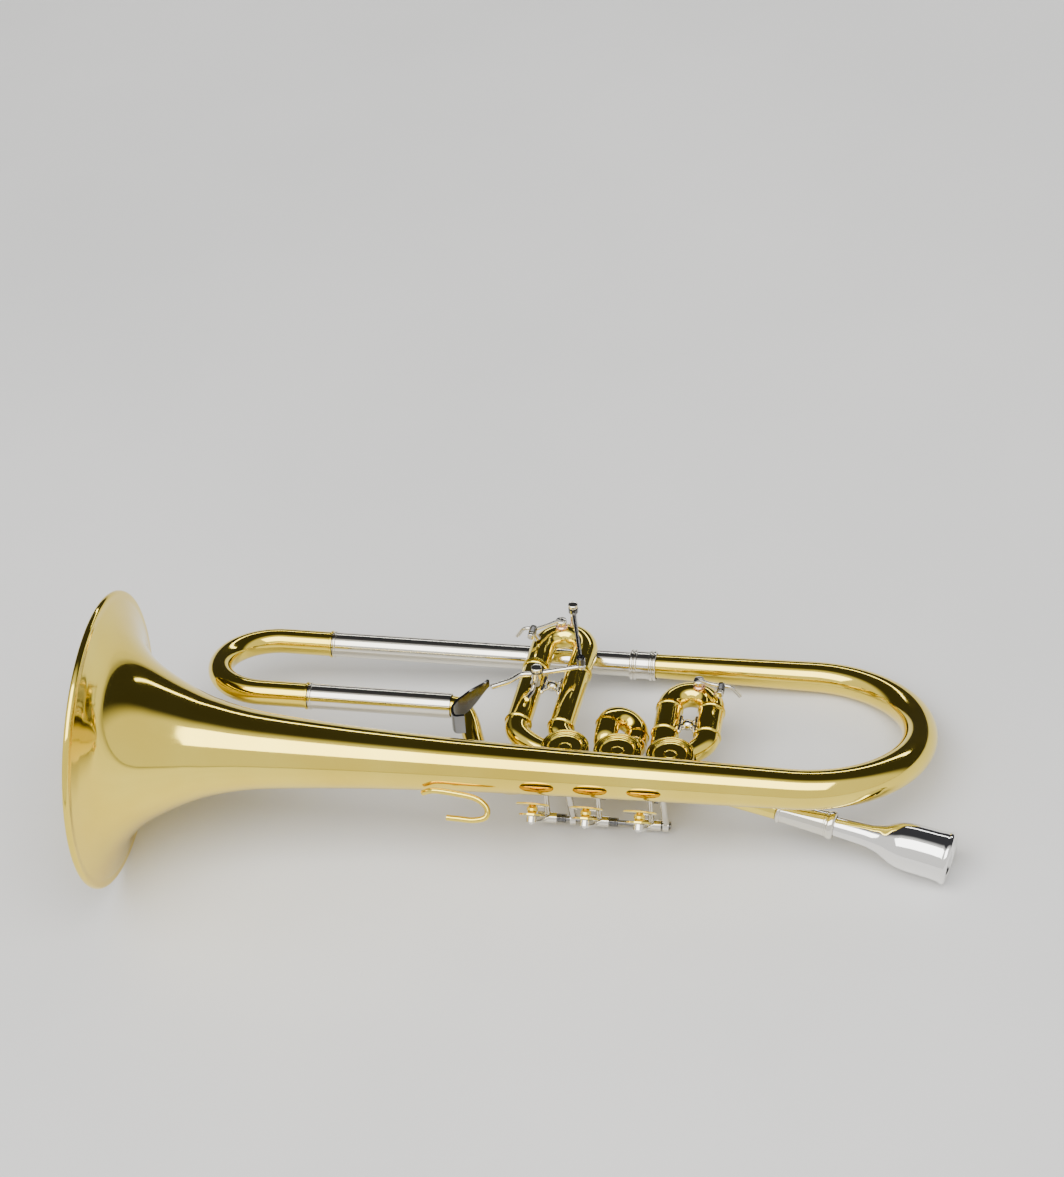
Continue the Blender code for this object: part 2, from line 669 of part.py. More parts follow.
def make_key_link(horn, number):
    """The rod from the lever's crank to the stop arm, open at the stop arm's end."""
    pin = pin_point(number)
    start = Vector((key_x(number), AXLE.y, LINK_LEVEL))
    head = turn(start + Vector((1.9, 0, 0)), (1, 0, 0), [(0, 1.7), (2.2, 1.7)], SMALL_SIDES)
    drop = Vector((pin.x, pin.y, VALVE_BASE - GAP - 3.6 - 1.9))
    path = [start + Vector((3, 0, 0)), Vector((start.x + 4.2, start.y + 4.0, drop.z)),
            drop + Vector((-1.2, -3.0, 0)), drop]
    rod = sweep(curve_through(path, 2), 0.9, sides=SMALL_SIDES)
    eye = turn(drop - Vector((0, 0, 1.0)), (0, 0, 1), [(0, 1.9), (2.4, 1.9)], SMALL_SIDES)
    horn.add(f"key_link_{number}", combine(rod, [head, eye]), "steel", start)


def make_key_axle(horn):
    first = Vector((key_x(3) - 10, AXLE.y, AXLE.z))
    length = key_x(1) + 10 - first.x
    horn.add("key_axle", turn(first, (1, 0, 0), [(0, AXLE_R), (length, AXLE_R)], SMALL_SIDES), "steel")


def make_axle_post(horn, name, x, foot):
    """A post from the bell tube's underside to an eye around the axle."""
    centre = Vector((x, AXLE.y, AXLE.z))
    eye = turn_hollow(centre - Vector((1.5, 0, 0)), (1, 0, 0), [(0, 3.2), (3, 3.2), (3, AXLE_R + GAP),
                                                               (0, AXLE_R + GAP)], EYE_SIDES)
    toward = (foot - centre).normalized()
    stem = sweep([centre + toward * 2.3, foot], [1.7, 2.0], sides=SMALL_SIDES)
    horn.add(name, combine(eye, [stem]), "nickel")


# ---------------------------------------------------------------- slide trigger, water keys, hook

def make_trigger_post(horn):
    """Stands on the third slide's sleeve; its pin carries the trigger lever."""
    base = Vector((TRIGGER_PIVOT.x - 1.5, TRIGGER_PIVOT.y, TUBE_LEVEL + SLEEVE_OD / 2 + GAP + 0.1))
    stand = TRIGGER_PIVOT - Vector((0, 0, 2.3))
    stem = sweep([base, stand], [2.6, 2.0], sides=EYE_SIDES)
    along = [base + Vector(step) for step in ((-2, -14, 1.4), (0, -7, 1.6), (0, 0, 2.2), (0, 6, 1.4))]
    foot = sweep(curve_through(along, 3), 1.2, sides=SMALL_SIDES)
    pin = turn(stand, (0, 0, 1), [(-0.5, 1.1), (4.5, 1.1), (4.5, 2.2), (6.9, 2.2)], SMALL_SIDES)
    horn.add("trigger_post", combine(stem, [foot, pin]), "nickel")


def make_trigger_lever(horn):
    """A bent bar: thumb end, eye on the post, and the ball end that moves the slide."""
    eye = turn_hollow(TRIGGER_PIVOT - Vector((0, 0, 1.5)), (0, 0, 1), [(0, 3.3), (3, 3.3), (3, 1.6),
                                                                      (0, 1.6)], EYE_SIDES)
    to_tip = (TRIGGER_TIP - TRIGGER_PIVOT).normalized()
    to_knee = (TRIGGER_KNEE - TRIGGER_PIVOT).normalized()
    tip_arm = sweep([TRIGGER_PIVOT + to_tip * 2.6, TRIGGER_TIP], [1.5, 1.2], sides=SMALL_SIDES)
    shin = mix(TRIGGER_KNEE, TRIGGER_SADDLE, 0.45) + Vector((0.8, -0.6, 0))
    thumb_route = curve_through([TRIGGER_PIVOT + to_knee * 2.6, TRIGGER_KNEE, shin, TRIGGER_SADDLE], 3)
    thumb_arm = sweep(thumb_route, 1.5, sides=SMALL_SIDES)
    ball = turn(TRIGGER_TIP - Vector((0, 0, 1.6)), (0, 0, 1), [(0, 1.2), (0.6, 1.9), (1.6, 2.2), (2.6, 1.9),
                                                              (3.2, 1.2)], SMALL_SIDES)
    horn.add("trigger_lever", combine(eye, [tip_arm, thumb_arm, ball]), "nickel", TRIGGER_PIVOT)


def make_trigger_saddle(horn):
    """The curled thumb plate: a bent strip, open toward the valves."""
    steps = ((-2, 3), (-6, -4.5), (-10.5, -12.5), (-14.5, -18.5), (-15.8, -24), (-13.5, -29), (-8.6, -28.4))
    outline = [TRIGGER_SADDLE + Vector((x, y, 0)) for x, y in steps]
    route = curve_through(outline, 3)
    bm = bmesh.new()
    last = len(route) - 1
    rings = []
    for i, point in enumerate(route):
        along = (route[min(i + 1, last)] - route[max(i - 1, 0)]).normalized()
        side = along.cross(Vector((0, 0, 1))).normalized()
        half_high = mix(2.2, 6.0, min(1, i / 6))
        corners = [side * 0.7 + Vector((0, 0, half_high)), side * 0.7 - Vector((0, 0, half_high)),
                   -side * 0.7 - Vector((0, 0, half_high)), -side * 0.7 + Vector((0, 0, half_high))]
        rings.append([bm.verts.new(point + corner) for corner in corners])
    for first, second in zip(rings, rings[1:]):
        for k in range(4):
            n = (k + 1) % 4
            bm.faces.new((first[k], first[n], second[n], second[k]))
    bm.faces.new(rings[0])
    bm.faces.new(rings[-1])
    horn.add("trigger_saddle", finish(bm), "steel")


def make_trigger_link(horn):
    """The short rod over the lever's ball end that carries its push to the crook's post."""
    level = 3.4
    start = Vector((CROOK_POST.x, CROOK_POST.y, level))
    end = Vector((TRIGGER_TIP.x, TRIGGER_TIP.y, level))
    ring = [(0, 2.6), (2.4, 2.6), (2.4, 1.4), (0, 1.4)]
    eye = turn_hollow(start - Vector((0, 0, 1.2)), (0, 0, 1), ring, SMALL_SIDES)
    toward = (end - start).normalized()
    rod = sweep([start + toward * 2.0, end], 1.0, sides=SMALL_SIDES)
    knob = [(0, 2.2), (4.2, 2.2), (4.2, 1.6), (5.0, 1.6)]
    head = turn(end - Vector((0, 0, 1.3)), (0, 0, 1), knob, SMALL_SIDES)
    horn.add("trigger_link", combine(eye, [rod, head]), "steel", start)


def make_crook_post(horn):
    """The screw post on the third slide's crook that the trigger's link turns about."""
    foot = Vector((CROOK_POST.x, CROOK_POST.y, TUBE_LEVEL + SLEEVE_OD / 2 + GAP))
    height = 6.2 - foot.z
    profile = [(0, 2.6), (2, 1.9), (1.9 - foot.z, 1.9), (1.9 - foot.z, 1.1), (height - 1, 1.1),
               (height - 1, 2.2), (height + 1.4, 2.2)]
    horn.add("crook_post", turn(foot, (0, 0, 1), profile, EYE_SIDES), "nickel")


def spout_foot(number, sign):
    """The top of the crook's tube near its far end, a little to the water key's side."""
    out = slide_direction(number)
    leg_a, leg_b = (leg_point(number, leg, CROOK_CENTRE_Y[number]) for leg in (-1, 1))
    middle = (leg_a + leg_b) / 2
    side = Vector((out.y, -out.x, 0)) * sign
    onward = math.sqrt((SLIDE_SPACING[number] / 2) ** 2 - SPOUT_OFFSET ** 2)
    return middle + side * SPOUT_OFFSET + out * onward + Vector((0, 0, SLEEVE_OD / 2))


def make_water_key(horn, number, sign, y):
    """A spout on the crook, a hinge post beside it, and a lever with a cork seat."""
    out = slide_direction(number)
    side = Vector((out.y, -out.x, 0)) * sign
    leg = leg_point(number, sign, y)
    top = leg + Vector((0, 0, SLEEVE_OD / 2 + GAP))
    post = turn(top + side * 2.0 + Vector((0, 0, -0.1)), side * 0.5 + Vector((0, 0, 1)),
                [(0.6, 2.0), (3.4, 1.4), (6.2, 1.4)], SMALL_SIDES)
    pivot = top + side * 4.6 + Vector((0, 0, 5.4))
    pin = turn(pivot - out * 3.6, out, [(0, 0.9), (7.2, 0.9)], SMALL_SIDES)
    horn.add(f"water_key_post_{number}", combine(post, [pin]), "nickel")
    ring = [(0, 2.1), (0.9, 2.1), (0.9, 1.15), (0, 1.15)]
    bush = turn_hollow(pivot + out * 1.7, out, ring, SMALL_SIDES)
    hinge = pivot + out * 2.2
    tail = hinge + side * 9.5 - Vector((0, 0, 7.0)) + out * 0.2
    lever = sweep(curve_through([hinge + side * 1.6, hinge + side * 5.6 - Vector((0, 0, 1.4)), tail], 3), 1.0,
                  sides=SMALL_SIDES)
    seat = spout_foot(number, sign) + Vector((0, 0, 5.0))
    seat_arm = sweep(curve_through([hinge - side * 1.5, mix(hinge, seat, 0.5) - out * 0.8, seat], 3), 0.9,
                     sides=SMALL_SIDES)
    horn.add(f"water_key_{number}", combine(bush, [lever, seat_arm]), "nickel", pivot)


def make_finger_hook(horn):
    """The little finger's hook: a flat U beside the bell tube, open toward the rim."""
    route = [(168, -15.5, -6.0), (174, -16.8, -2.6), (184, -16.8, -3.4), (195, -17.2, -5.4),
             (201, -19.5, -9.0), (201, -22.8, -12.6), (195, -24.0, -14.2), (187, -23.6, -14.4),
             (181, -23.2, -14.6)]
    horn.add("finger_hook", sweep(curve_through(route, 2), 1.5, sides=SMALL_SIDES), "brass")


def rest_on_floor(horn):
    """Moves the root so that the horn's lowest point is at height 0 and its box is centred on the origin."""
    bpy.context.view_layer.update()
    pieces = [piece for piece in bpy.context.collection.objects if piece.type == "MESH"]
    corners = [piece.matrix_world @ vertex.co for piece in pieces for vertex in piece.data.vertices]
    low = Vector([min(c[i] for c in corners) for i in range(3)])
    high = Vector([max(c[i] for c in corners) for i in range(3)])
    horn.root.location = -Vector(((low.x + high.x) / 2, (low.y + high.y) / 2, low.z))


def build():
    clear_scene()
    horn = Horn()
    make_bell(horn)
    make_bow(horn)
    make_tail_ferrule(horn)
    make_rear_sleeve(horn)
    make_front_sleeve(horn)
    make_tuning_slide(horn)
    for number in VALVE_X:
        make_casing(horn, number)
        make_rotor(horn, number)
        make_cap(horn, number)
        make_stop_arm(horn, number)
        make_key_lever(horn, number)
        make_touchpiece(horn, number)
        make_key_link(horn, number)
    make_valve_link(horn, 2)
    make_valve_link(horn, 3)
    make_exit_tube(horn)
    for number in (1, 3):
        make_slide_sleeves(horn, number)
        make_slide_crook(horn, number)
    make_slide_2(horn)
    make_slide_brace(horn, 1, 55.0)
    make_slide_brace(horn, 3, 77.0)
    make_leadpipe(horn)
    make_receiver(horn)
    make_mouthpiece(horn)
    make_key_axle(horn)
    make_axle_post(horn, "axle_post_a", key_x(3) + 13.5, Vector((key_x(3) + 13.5, 4.0, -14.4)))
    make_axle_post(horn, "axle_post_b", key_x(1) + 7.5, Vector((key_x(1) + 7.5, 4.0, -13.6)))
    make_trigger_post(horn)
    make_trigger_lever(horn)
    make_trigger_saddle(horn)
    make_trigger_link(horn)
    make_crook_post(horn)
    make_water_key(horn, 1, 1, 71.0)
    make_water_key(horn, 3, -1, 104.0)
    make_finger_hook(horn)
    rest_on_floor(horn)


build()
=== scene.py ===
"""The flugelhorn's fine surfaces, materials, light and camera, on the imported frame.

Every piece is laid out in the horn's own frame, in millimetres, as the frame's solids are: X runs from the
bell's rim along the bell tube, Y is the way the valve slides come out, and Z is up. One matrix, read from
the frame's joints, places it all in the frame.
"""

import json
import math

import bmesh
import bpy
from mathutils import Euler, Matrix, Vector

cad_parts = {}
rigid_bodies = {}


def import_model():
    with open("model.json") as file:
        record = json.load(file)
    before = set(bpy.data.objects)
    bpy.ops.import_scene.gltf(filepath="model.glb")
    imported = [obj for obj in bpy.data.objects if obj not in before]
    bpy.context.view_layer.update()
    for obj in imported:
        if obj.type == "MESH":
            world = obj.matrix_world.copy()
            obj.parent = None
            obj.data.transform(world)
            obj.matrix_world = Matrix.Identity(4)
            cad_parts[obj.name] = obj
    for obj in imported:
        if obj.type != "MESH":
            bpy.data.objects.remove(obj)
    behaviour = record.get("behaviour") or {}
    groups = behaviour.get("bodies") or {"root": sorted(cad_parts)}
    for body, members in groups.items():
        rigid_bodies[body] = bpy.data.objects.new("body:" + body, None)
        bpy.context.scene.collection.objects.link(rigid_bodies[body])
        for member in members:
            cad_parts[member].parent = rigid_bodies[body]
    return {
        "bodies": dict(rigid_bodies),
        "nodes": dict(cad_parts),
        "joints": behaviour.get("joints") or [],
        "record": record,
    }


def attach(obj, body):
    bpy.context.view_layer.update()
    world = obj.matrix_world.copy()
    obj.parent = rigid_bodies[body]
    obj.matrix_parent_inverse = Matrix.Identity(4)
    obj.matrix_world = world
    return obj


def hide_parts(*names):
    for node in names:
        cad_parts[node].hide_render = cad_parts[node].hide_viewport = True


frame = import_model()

MM = 0.001
GAP = 0.3                       # clearance left between neighbouring pieces

# Resting attitude of the horn frame
REST_ROLL = math.radians(-3.91)
REST_PITCH = math.radians(4.74)

# Bell and bow
BELL_OUTLINE = [(3.6, 72.5), (6, 65), (11, 54.3), (20, 44), (30, 37.2), (44, 30), (56, 25.3), (79, 20.2),
                (110, 17.3), (150, 14.8), (192, 13.1), (250, 11.8), (344, 10.2)]
BELL_WALL = 0.7
RIM_INNER = 73.4                # the rim's flat front face runs from here out to the bead
BELL_END = 344.0
BOW_CENTRE_X = 351.5
BOW_RADIUS = 60.0
BOW_TILT = math.radians(-15.0)  # the bow drops from the bell tube to the return tube
BOW_OD_START = 20.2
BOW_OD_MIDDLE = 18.4
BOW_OD_END = 16.0
RETURN_END_X = 262.0
RETURN_END_OD = 12.6
TUBE_WALL = 0.6

# Main tuning slide, between the return tube and the valves
SLEEVE_OD = 13.2
REAR_SLEEVE_X = (92.0, 261.5)
FRONT_LEG = Vector((0, 60, -17))
TUNING_CENTRE_X = 66.0
TUNING_LEG_END_X = 152.0
FRONT_SLEEVE_X = (92.0, 168.0)

# Valves, numbered from the mouthpiece end
VALVE_X = {1: 288.0, 2: 261.0, 3: 234.0}
VALVE_Y = 25.0
VALVE_TOP = -8.2
VALVE_FLOOR = -25.0
VALVE_BASE = -27.0
TUBE_LEVEL = -14.0
CASING_R = 11.8
CASING_BORE = 10.7
ROTOR_R = 10.2
PORT_R = 5.0
ROTOR_WAY_R = 3.7
SHAFT_R = 2.0
CAP_R = 12.3
# Directions of each valve's four tubes, in degrees round its axis
PORTS = {1: {"a": 118, "b": 45, "in": 315, "out": 225},
         2: {"a": 130, "b": 60, "in": 315, "out": 225},
         3: {"a": 160, "b": 100, "in": 330, "out": 240}}
PORT_START = CASING_R + 0.5     # how far from the valve's axis its tubes begin
PORT_OD = 11.6

# Valve slides: middle line, lean, where the sleeves end, how far the crook reaches
SLIDE_SPACING = {1: 21.8, 3: 22.6}
SLIDE_X = {1: 293.0, 3: 216.5}
SLIDE_LEAN = {1: 0.0, 3: math.radians(3.5)}
SLEEVE_END_Y = {1: 66.0, 3: 88.0}
CROOK_CENTRE_Y = {1: 66.8, 3: 105.0}
INNER_LEG_Y = {1: 48.8, 3: 56.0}
BRACE_Y = {1: 55.0, 3: 77.0}
WATER_KEYS = {1: (1, 71.0), 3: (-1, 104.0)}     # the leg each stands by (-1 nearer the rim), and its Y
SLIDE_2_LEGS = (Vector((252.5, 0, -11.5)), Vector((267.3, 0, -18.5)))
SLIDE_2_SLEEVE_END = 48.0
SLIDE_2_CENTRE_Y = 48.6
SLIDE_2_OD = 12.0

# Leadpipe line, receiver and mouthpiece
LEAD_START = Vector((312, 10.5, -16.0))
LEAD_END = Vector((374, -1, -22.5))
RECEIVER_LENGTH = 30.0
MOUTHPIECE_REACH = 60.0
MOUTHPIECE_HELD = 22.0          # the length of its taper inside the receiver

# Keys
AXLE = Vector((0, 14, -47))     # the levers' common axle, along X
AXLE_R = 1.3
HUB_R = 3.0
CRANK = 18.0                    # from the axle up to the link
PIN_RADIUS = 4.0                # from the rotor's axis to the link's pin
LINK_LEVEL = AXLE.z + CRANK
TOUCH = Vector((0, -20.5, -7.0))
TOUCH_R = 8.7
KEY_OFFSET = 6.5                # a key's distance from its link's pin, toward the rim

# Slide trigger
TRIGGER_PIVOT = Vector((212.5, 71, 0))
TRIGGER_TIP = Vector((234.6, 78.5, 0))
TRIGGER_KNEE = Vector((204, 69, 0))
TRIGGER_SADDLE = Vector((190.5, 58.5, 0))  # where the thumb arm meets the saddle
CROOK_POST = Vector((224.4, 118, 0))
SPOUT_OFFSET = 3.2              # of a water spout from its crook's middle line

TUBE_SIDES = 48
VALVE_SIDES = 64
BELL_SIDES = 160
SMALL_SIDES = 24
FINE = 5                        # how many times finer than the frame's solids the bends are

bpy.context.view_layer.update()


# ---------------------------------------------------------------- materials

class Graph:
    """Short calls for building a material's nodes."""

    def __init__(self, name):
        self.material = bpy.data.materials.new(name)
        self.material.use_nodes = True
        self.tree = self.material.node_tree
        self.shader = self.tree.nodes["Principled BSDF"]
        self.place = self.add("ShaderNodeTexCoord").outputs["Object"]

    def add(self, kind, **values):
        node = self.tree.nodes.new(kind)
        for key, value in values.items():
            setattr(node, key, value)
        return node

    def link(self, source, target):
        self.tree.links.new(source, target)

    def noise(self, scale, detail=4.0, stretch=(1, 1, 1)):
        mapping = self.add("ShaderNodeMapping")
        mapping.inputs["Scale"].default_value = stretch
        self.link(self.place, mapping.inputs["Vector"])
        noise = self.add("ShaderNodeTexNoise")
        noise.inputs["Scale"].default_value = scale
        noise.inputs["Detail"].default_value = detail
        self.link(mapping.outputs["Vector"], noise.inputs["Vector"])
        return noise.outputs["Fac"]

    def ramp(self, source, low, high, start=0.35, end=0.65):
        ramp = self.add("ShaderNodeValToRGB")
        ramp.color_ramp.elements[0].position = start
        ramp.color_ramp.elements[0].color = (*low, 1)
        ramp.color_ramp.elements[1].position = end
        ramp.color_ramp.elements[1].color = (*high, 1)
        self.link(source, ramp.inputs["Fac"])
        return ramp.outputs["Color"]

    def spread(self, source, low, high):
        change = self.add("ShaderNodeMapRange")
        change.inputs["From Min"].default_value = 0.3
        change.inputs["From Max"].default_value = 0.7
        change.inputs["To Min"].default_value = low
        change.inputs["To Max"].default_value = high
        self.link(source, change.inputs["Value"])
        return change.outputs["Result"]

    def bump(self, source, strength, distance):
        bump = self.add("ShaderNodeBump")
        bump.inputs["Strength"].default_value = strength
        bump.inputs["Distance"].default_value = distance
        self.link(source, bump.inputs["Height"])
        self.link(bump.outputs["Normal"], self.shader.inputs["Normal"])


def polished_metal(name, dull, bright, rough, coat=0.0, ripple=0.03):
    """A buffed metal: cloudy tint, uneven roughness, hairlines from wiping, a faint hand-buffed ripple."""
    graph = Graph(name)
    cloud = graph.noise(14.0, 5.0)
    graph.link(graph.ramp(cloud, dull, bright), graph.shader.inputs["Base Color"])
    wiped = graph.noise(260.0, 6.0, (0.15, 1.0, 1.0))
    joined = graph.add("ShaderNodeMath", operation="MULTIPLY_ADD")
    graph.link(wiped, joined.inputs[0])
    joined.inputs[1].default_value = 0.5
    half = graph.add("ShaderNodeMath", operation="MULTIPLY")
    graph.link(graph.noise(38.0, 3.0), half.inputs[0])
    half.inputs[1].default_value = 0.5
    graph.link(half.outputs["Value"], joined.inputs[2])
    uneven = graph.spread(joined.outputs["Value"], rough * 0.55, rough * 1.6)
    graph.link(uneven, graph.shader.inputs["Roughness"])
    graph.bump(graph.noise(55.0, 2.0), ripple, 0.0006)
    graph.shader.inputs["Metallic"].default_value = 1.0
    graph.shader.inputs["Coat Weight"].default_value = coat
    graph.shader.inputs["Coat Roughness"].default_value = 0.03
    return graph.material


def brushed_steel():
    graph = Graph("fine_steel")
    graph.link(graph.ramp(graph.noise(30.0), (0.16, 0.16, 0.165), (0.24, 0.24, 0.245)),
               graph.shader.inputs["Base Color"])
    brushed = graph.noise(420.0, 3.0, (0.1, 1.0, 1.0))
    graph.link(graph.spread(brushed, 0.10, 0.24), graph.shader.inputs["Roughness"])
    graph.bump(brushed, 0.06, 0.0002)
    graph.shader.inputs["Metallic"].default_value = 1.0
    return graph.material


def cork():
    graph = Graph("fine_cork")
    graph.link(graph.ramp(graph.noise(900.0, 6.0), (0.10, 0.05, 0.025), (0.42, 0.25, 0.13)),
               graph.shader.inputs["Base Color"])
    graph.bump(graph.noise(1400.0, 3.0), 0.5, 0.0002)
    graph.link(graph.spread(graph.noise(500.0), 0.65, 0.9), graph.shader.inputs["Roughness"])
    return graph.material


def pale_floor():
    graph = Graph("pale_floor")
    graph.link(graph.ramp(graph.noise(3.0, 6.0), (0.70, 0.70, 0.69), (0.76, 0.755, 0.745)),
               graph.shader.inputs["Base Color"])
    graph.link(graph.spread(graph.noise(120.0), 0.55, 0.7), graph.shader.inputs["Roughness"])
    graph.bump(graph.noise(700.0, 4.0), 0.08, 0.0004)
    return graph.material


def make_materials():
    return {
        "brass": polished_metal("fine_brass", (0.85, 0.63, 0.075), (0.93, 0.74, 0.12), 0.07, 0.1),
        "nickel": polished_metal("fine_nickel", (0.72, 0.68, 0.58), (0.80, 0.77, 0.68), 0.09),
        "rose": polished_metal("fine_rose_brass", (0.72, 0.40, 0.26), (0.82, 0.50, 0.34), 0.11),
        "silver": polished_metal("fine_silver", (0.83, 0.81, 0.77), (0.90, 0.89, 0.86), 0.06),
        "steel": brushed_steel(),
        "cork": cork(),
    }


NODE_BODY = {node: body for body, nodes in frame["record"]["behaviour"]["bodies"].items() for node in nodes}


def horn_placement():
    """The matrix from horn millimetres to the frame's metres, found from the first key's axle."""
    tip = Euler((REST_ROLL, REST_PITCH, 0)).to_matrix().to_4x4() @ Matrix.Scale(MM, 4)
    joint = next(j for j in frame["record"]["behaviour"]["joints"] if j["name"] == "key_1_press")
    known = tip @ Vector((key_x(1), AXLE.y, AXLE.z))
    return Matrix.Translation(Vector(joint["pos_m"]) - known) @ tip


class Horn:
    """Turns a mesh in horn millimetres into a placed piece that rides on its body."""

    def __init__(self):
        self.materials = make_materials()
        self.place = horn_placement()

    def add(self, name, mesh_data, material, body=None, nodes=None):
        """Without a body the piece stands for the frame's nodes given, or for the node of its own name."""
        mesh_data.transform(self.place)
        mesh_data.name = name
        mesh_data.materials.clear()
        mesh_data.materials.append(self.materials[material])
        mesh_data.shade_smooth()
        mesh_data.set_sharp_from_angle(angle=math.radians(40))
        piece = bpy.data.objects.new("fine_" + name, mesh_data)
        bpy.context.collection.objects.link(piece)
        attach(piece, body or NODE_BODY[name])
        if body is None:
            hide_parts(*(nodes or [name]))


# ---------------------------------------------------------------- shapes

def finish(bm):
    bmesh.ops.recalc_face_normals(bm, faces=bm.faces)
    mesh_data = bpy.data.meshes.new("piece")
    bm.to_mesh(mesh_data)
    bm.free()
    return mesh_data


def line_axes(start, direction):
    """A line's start and unit direction, with two unit vectors square to it."""
    direction = Vector(direction).normalized()
    side = direction.orthogonal().normalized()
    return Vector(start), direction, side, direction.cross(side)


def add_ring(bm, centre, side, up, radius, sides):
    ring = []
    for k in range(sides):
        angle = math.tau * k / sides
        ring.append(bm.verts.new(centre + radius * (math.cos(angle) * side + math.sin(angle) * up)))
    return ring


def join_rings(bm, pairs):
    """Four-sided faces between the rings of each pair."""
    for first, second in pairs:
        for k in range(len(first)):
            n = (k + 1) % len(first)
            bm.faces.new((first[k], first[n], second[n], second[k]))


def ring_frames(path):
    """A square-on frame at each point of a path, carried along without twist."""
    points = [Vector(p) for p in path]
    last = len(points) - 1
    tangents = [(points[min(i + 1, last)] - points[max(i - 1, 0)]).normalized() for i in range(last + 1)]
    side = tangents[0].orthogonal().normalized()
    frames = []
    for point, tangent in zip(points, tangents):
        side = (side - tangent * side.dot(tangent)).normalized()
        frames.append((point, side, tangent.cross(side)))
    return frames


def sweep(path, outer, inner=None, sides=TUBE_SIDES):
    """A round rod along the path, or a tube when inner radii are given too."""
    frames = ring_frames(path)
    outer = outer if isinstance(outer, list) else [outer] * len(frames)
    rounds = list(zip(frames, outer))
    if inner is not None:
        inner = inner if isinstance(inner, list) else [inner] * len(frames)
        rounds += list(zip(frames, inner))[::-1]
    bm = bmesh.new()
    rings = [add_ring(bm, point, side, up, radius, sides) for (point, side, up), radius in rounds]
    pairs = list(zip(rings, rings[1:]))
    if inner is not None:
        pairs.append((rings[-1], rings[0]))
    else:
        bm.faces.new(rings[0])
        bm.faces.new(rings[-1])
    join_rings(bm, pairs)
    return finish(bm)


def turn_hollow(start, direction, profile, sides=TUBE_SIDES, closed=True):
    """A shape turned about a line; the profile lists (distance along the line, radius)."""
    start, direction, side, up = line_axes(start, direction)
    bm = bmesh.new()
    rings = [add_ring(bm, start + along * direction, side, up, radius, sides) for along, radius in profile]
    join_rings(bm, zip(rings, rings[1:] + (rings[:1] if closed else [])))
    if not closed:
        bm.faces.new(rings[0])
        bm.faces.new(rings[-1])
    return finish(bm)


def turn(start, direction, profile, sides=TUBE_SIDES):
    """A solid turned about a line, closed at both ends."""
    return turn_hollow(start, direction, profile, sides, closed=False)


def soften(profile, size=0.25, steps=4):
    """The same outline with each corner rounded off by an arc no larger than size."""
    soft = [profile[0]]
    for before, corner, after in zip(profile, profile[1:], profile[2:]):
        corner = Vector(corner)
        to_before, to_after = Vector(before) - corner, Vector(after) - corner
        cut = min(size, to_before.length * 0.45, to_after.length * 0.45)
        start = corner + to_before.normalized() * cut if cut else corner
        end = corner + to_after.normalized() * cut if cut else corner
        for k in range(steps + 1):
            t = k / steps
            soft.append(tuple((1 - t) ** 2 * start + 2 * t * (1 - t) * corner + t * t * end))
    soft.append(profile[-1])
    return soft


def knurled_head(start, direction, height, radius):
    """A screw's knurled head with a slot-free domed top."""
    start, direction, side, up = line_axes(start, direction)
    teeth = 28
    bm = bmesh.new()
    rings = []
    for along, size, depth in ((0, 0.86, 0), (0.12, 1, 0), (0.18, 1, 0.07), (0.82, 1, 0.07), (0.88, 1, 0),
                               (0.96, 0.93, 0), (1.0, 0.82, 0), (1.02, 0.4, 0)):
        ring = []
        for k in range(teeth * 4):
            angle = math.tau * k / (teeth * 4)
            reach = radius * size * (1 - depth * (k % 4 in (0, 3)))
            ring.append(bm.verts.new(start + along * height * direction
                                     + reach * (math.cos(angle) * side + math.sin(angle) * up)))
        rings.append(ring)
    join_rings(bm, zip(rings, rings[1:]))
    bm.faces.new(rings[0])
    bm.faces.new(rings[-1])
    return finish(bm)


def coil(start, direction, radius, length, turns, wire):
    """A spring of round wire about a line."""
    start, direction, side, up = line_axes(start, direction)
    steps = int(turns * 20)
    path = []
    for k in range(steps + 1):
        angle = math.tau * turns * k / steps
        path.append(start + direction * length * k / steps
                    + radius * (math.cos(angle) * side + math.sin(angle) * up))
    return sweep(path, wire, sides=10)


def join(first, others):
    """Several meshes as one, without cutting them where they meet."""
    bm = bmesh.new()
    for mesh_data in [first] + others:
        bm.from_mesh(mesh_data)
    return finish(bm)


def cut_away(base, tools):
    """Cuts the tools from a mesh and returns what is left."""
    target = bpy.data.objects.new("target", base)
    bpy.context.collection.objects.link(target)
    helpers = []
    for tool in tools:
        helper = bpy.data.objects.new("helper", tool)
        bpy.context.collection.objects.link(helper)
        modifier = target.modifiers.new("cut", "BOOLEAN")
        modifier.operation = "DIFFERENCE"
        modifier.solver = "MANIFOLD"
        modifier.object = helper
        helpers.append(helper)
    evaluated = target.evaluated_get(bpy.context.evaluated_depsgraph_get())
    result = bpy.data.meshes.new_from_object(evaluated)
    for done in [target] + helpers:
        bpy.data.objects.remove(done)
    return result


def curve_through(points, per_span=4):
    """A smooth route through given points."""
    points = [Vector(p) for p in points]
    per_span *= FINE
    ends = [2 * points[0] - points[1]] + points + [2 * points[-1] - points[-2]]
    route = []
    for a, b, c, d in zip(ends, ends[1:], ends[2:], ends[3:]):
        for k in range(per_span):
            t = k / per_span
            route.append(0.5 * (2 * b + (c - a) * t + (2 * a - 5 * b + 4 * c - d) * t * t
                                + (3 * b - a - 3 * c + d) * t ** 3))
    route.append(points[-1])
    return route


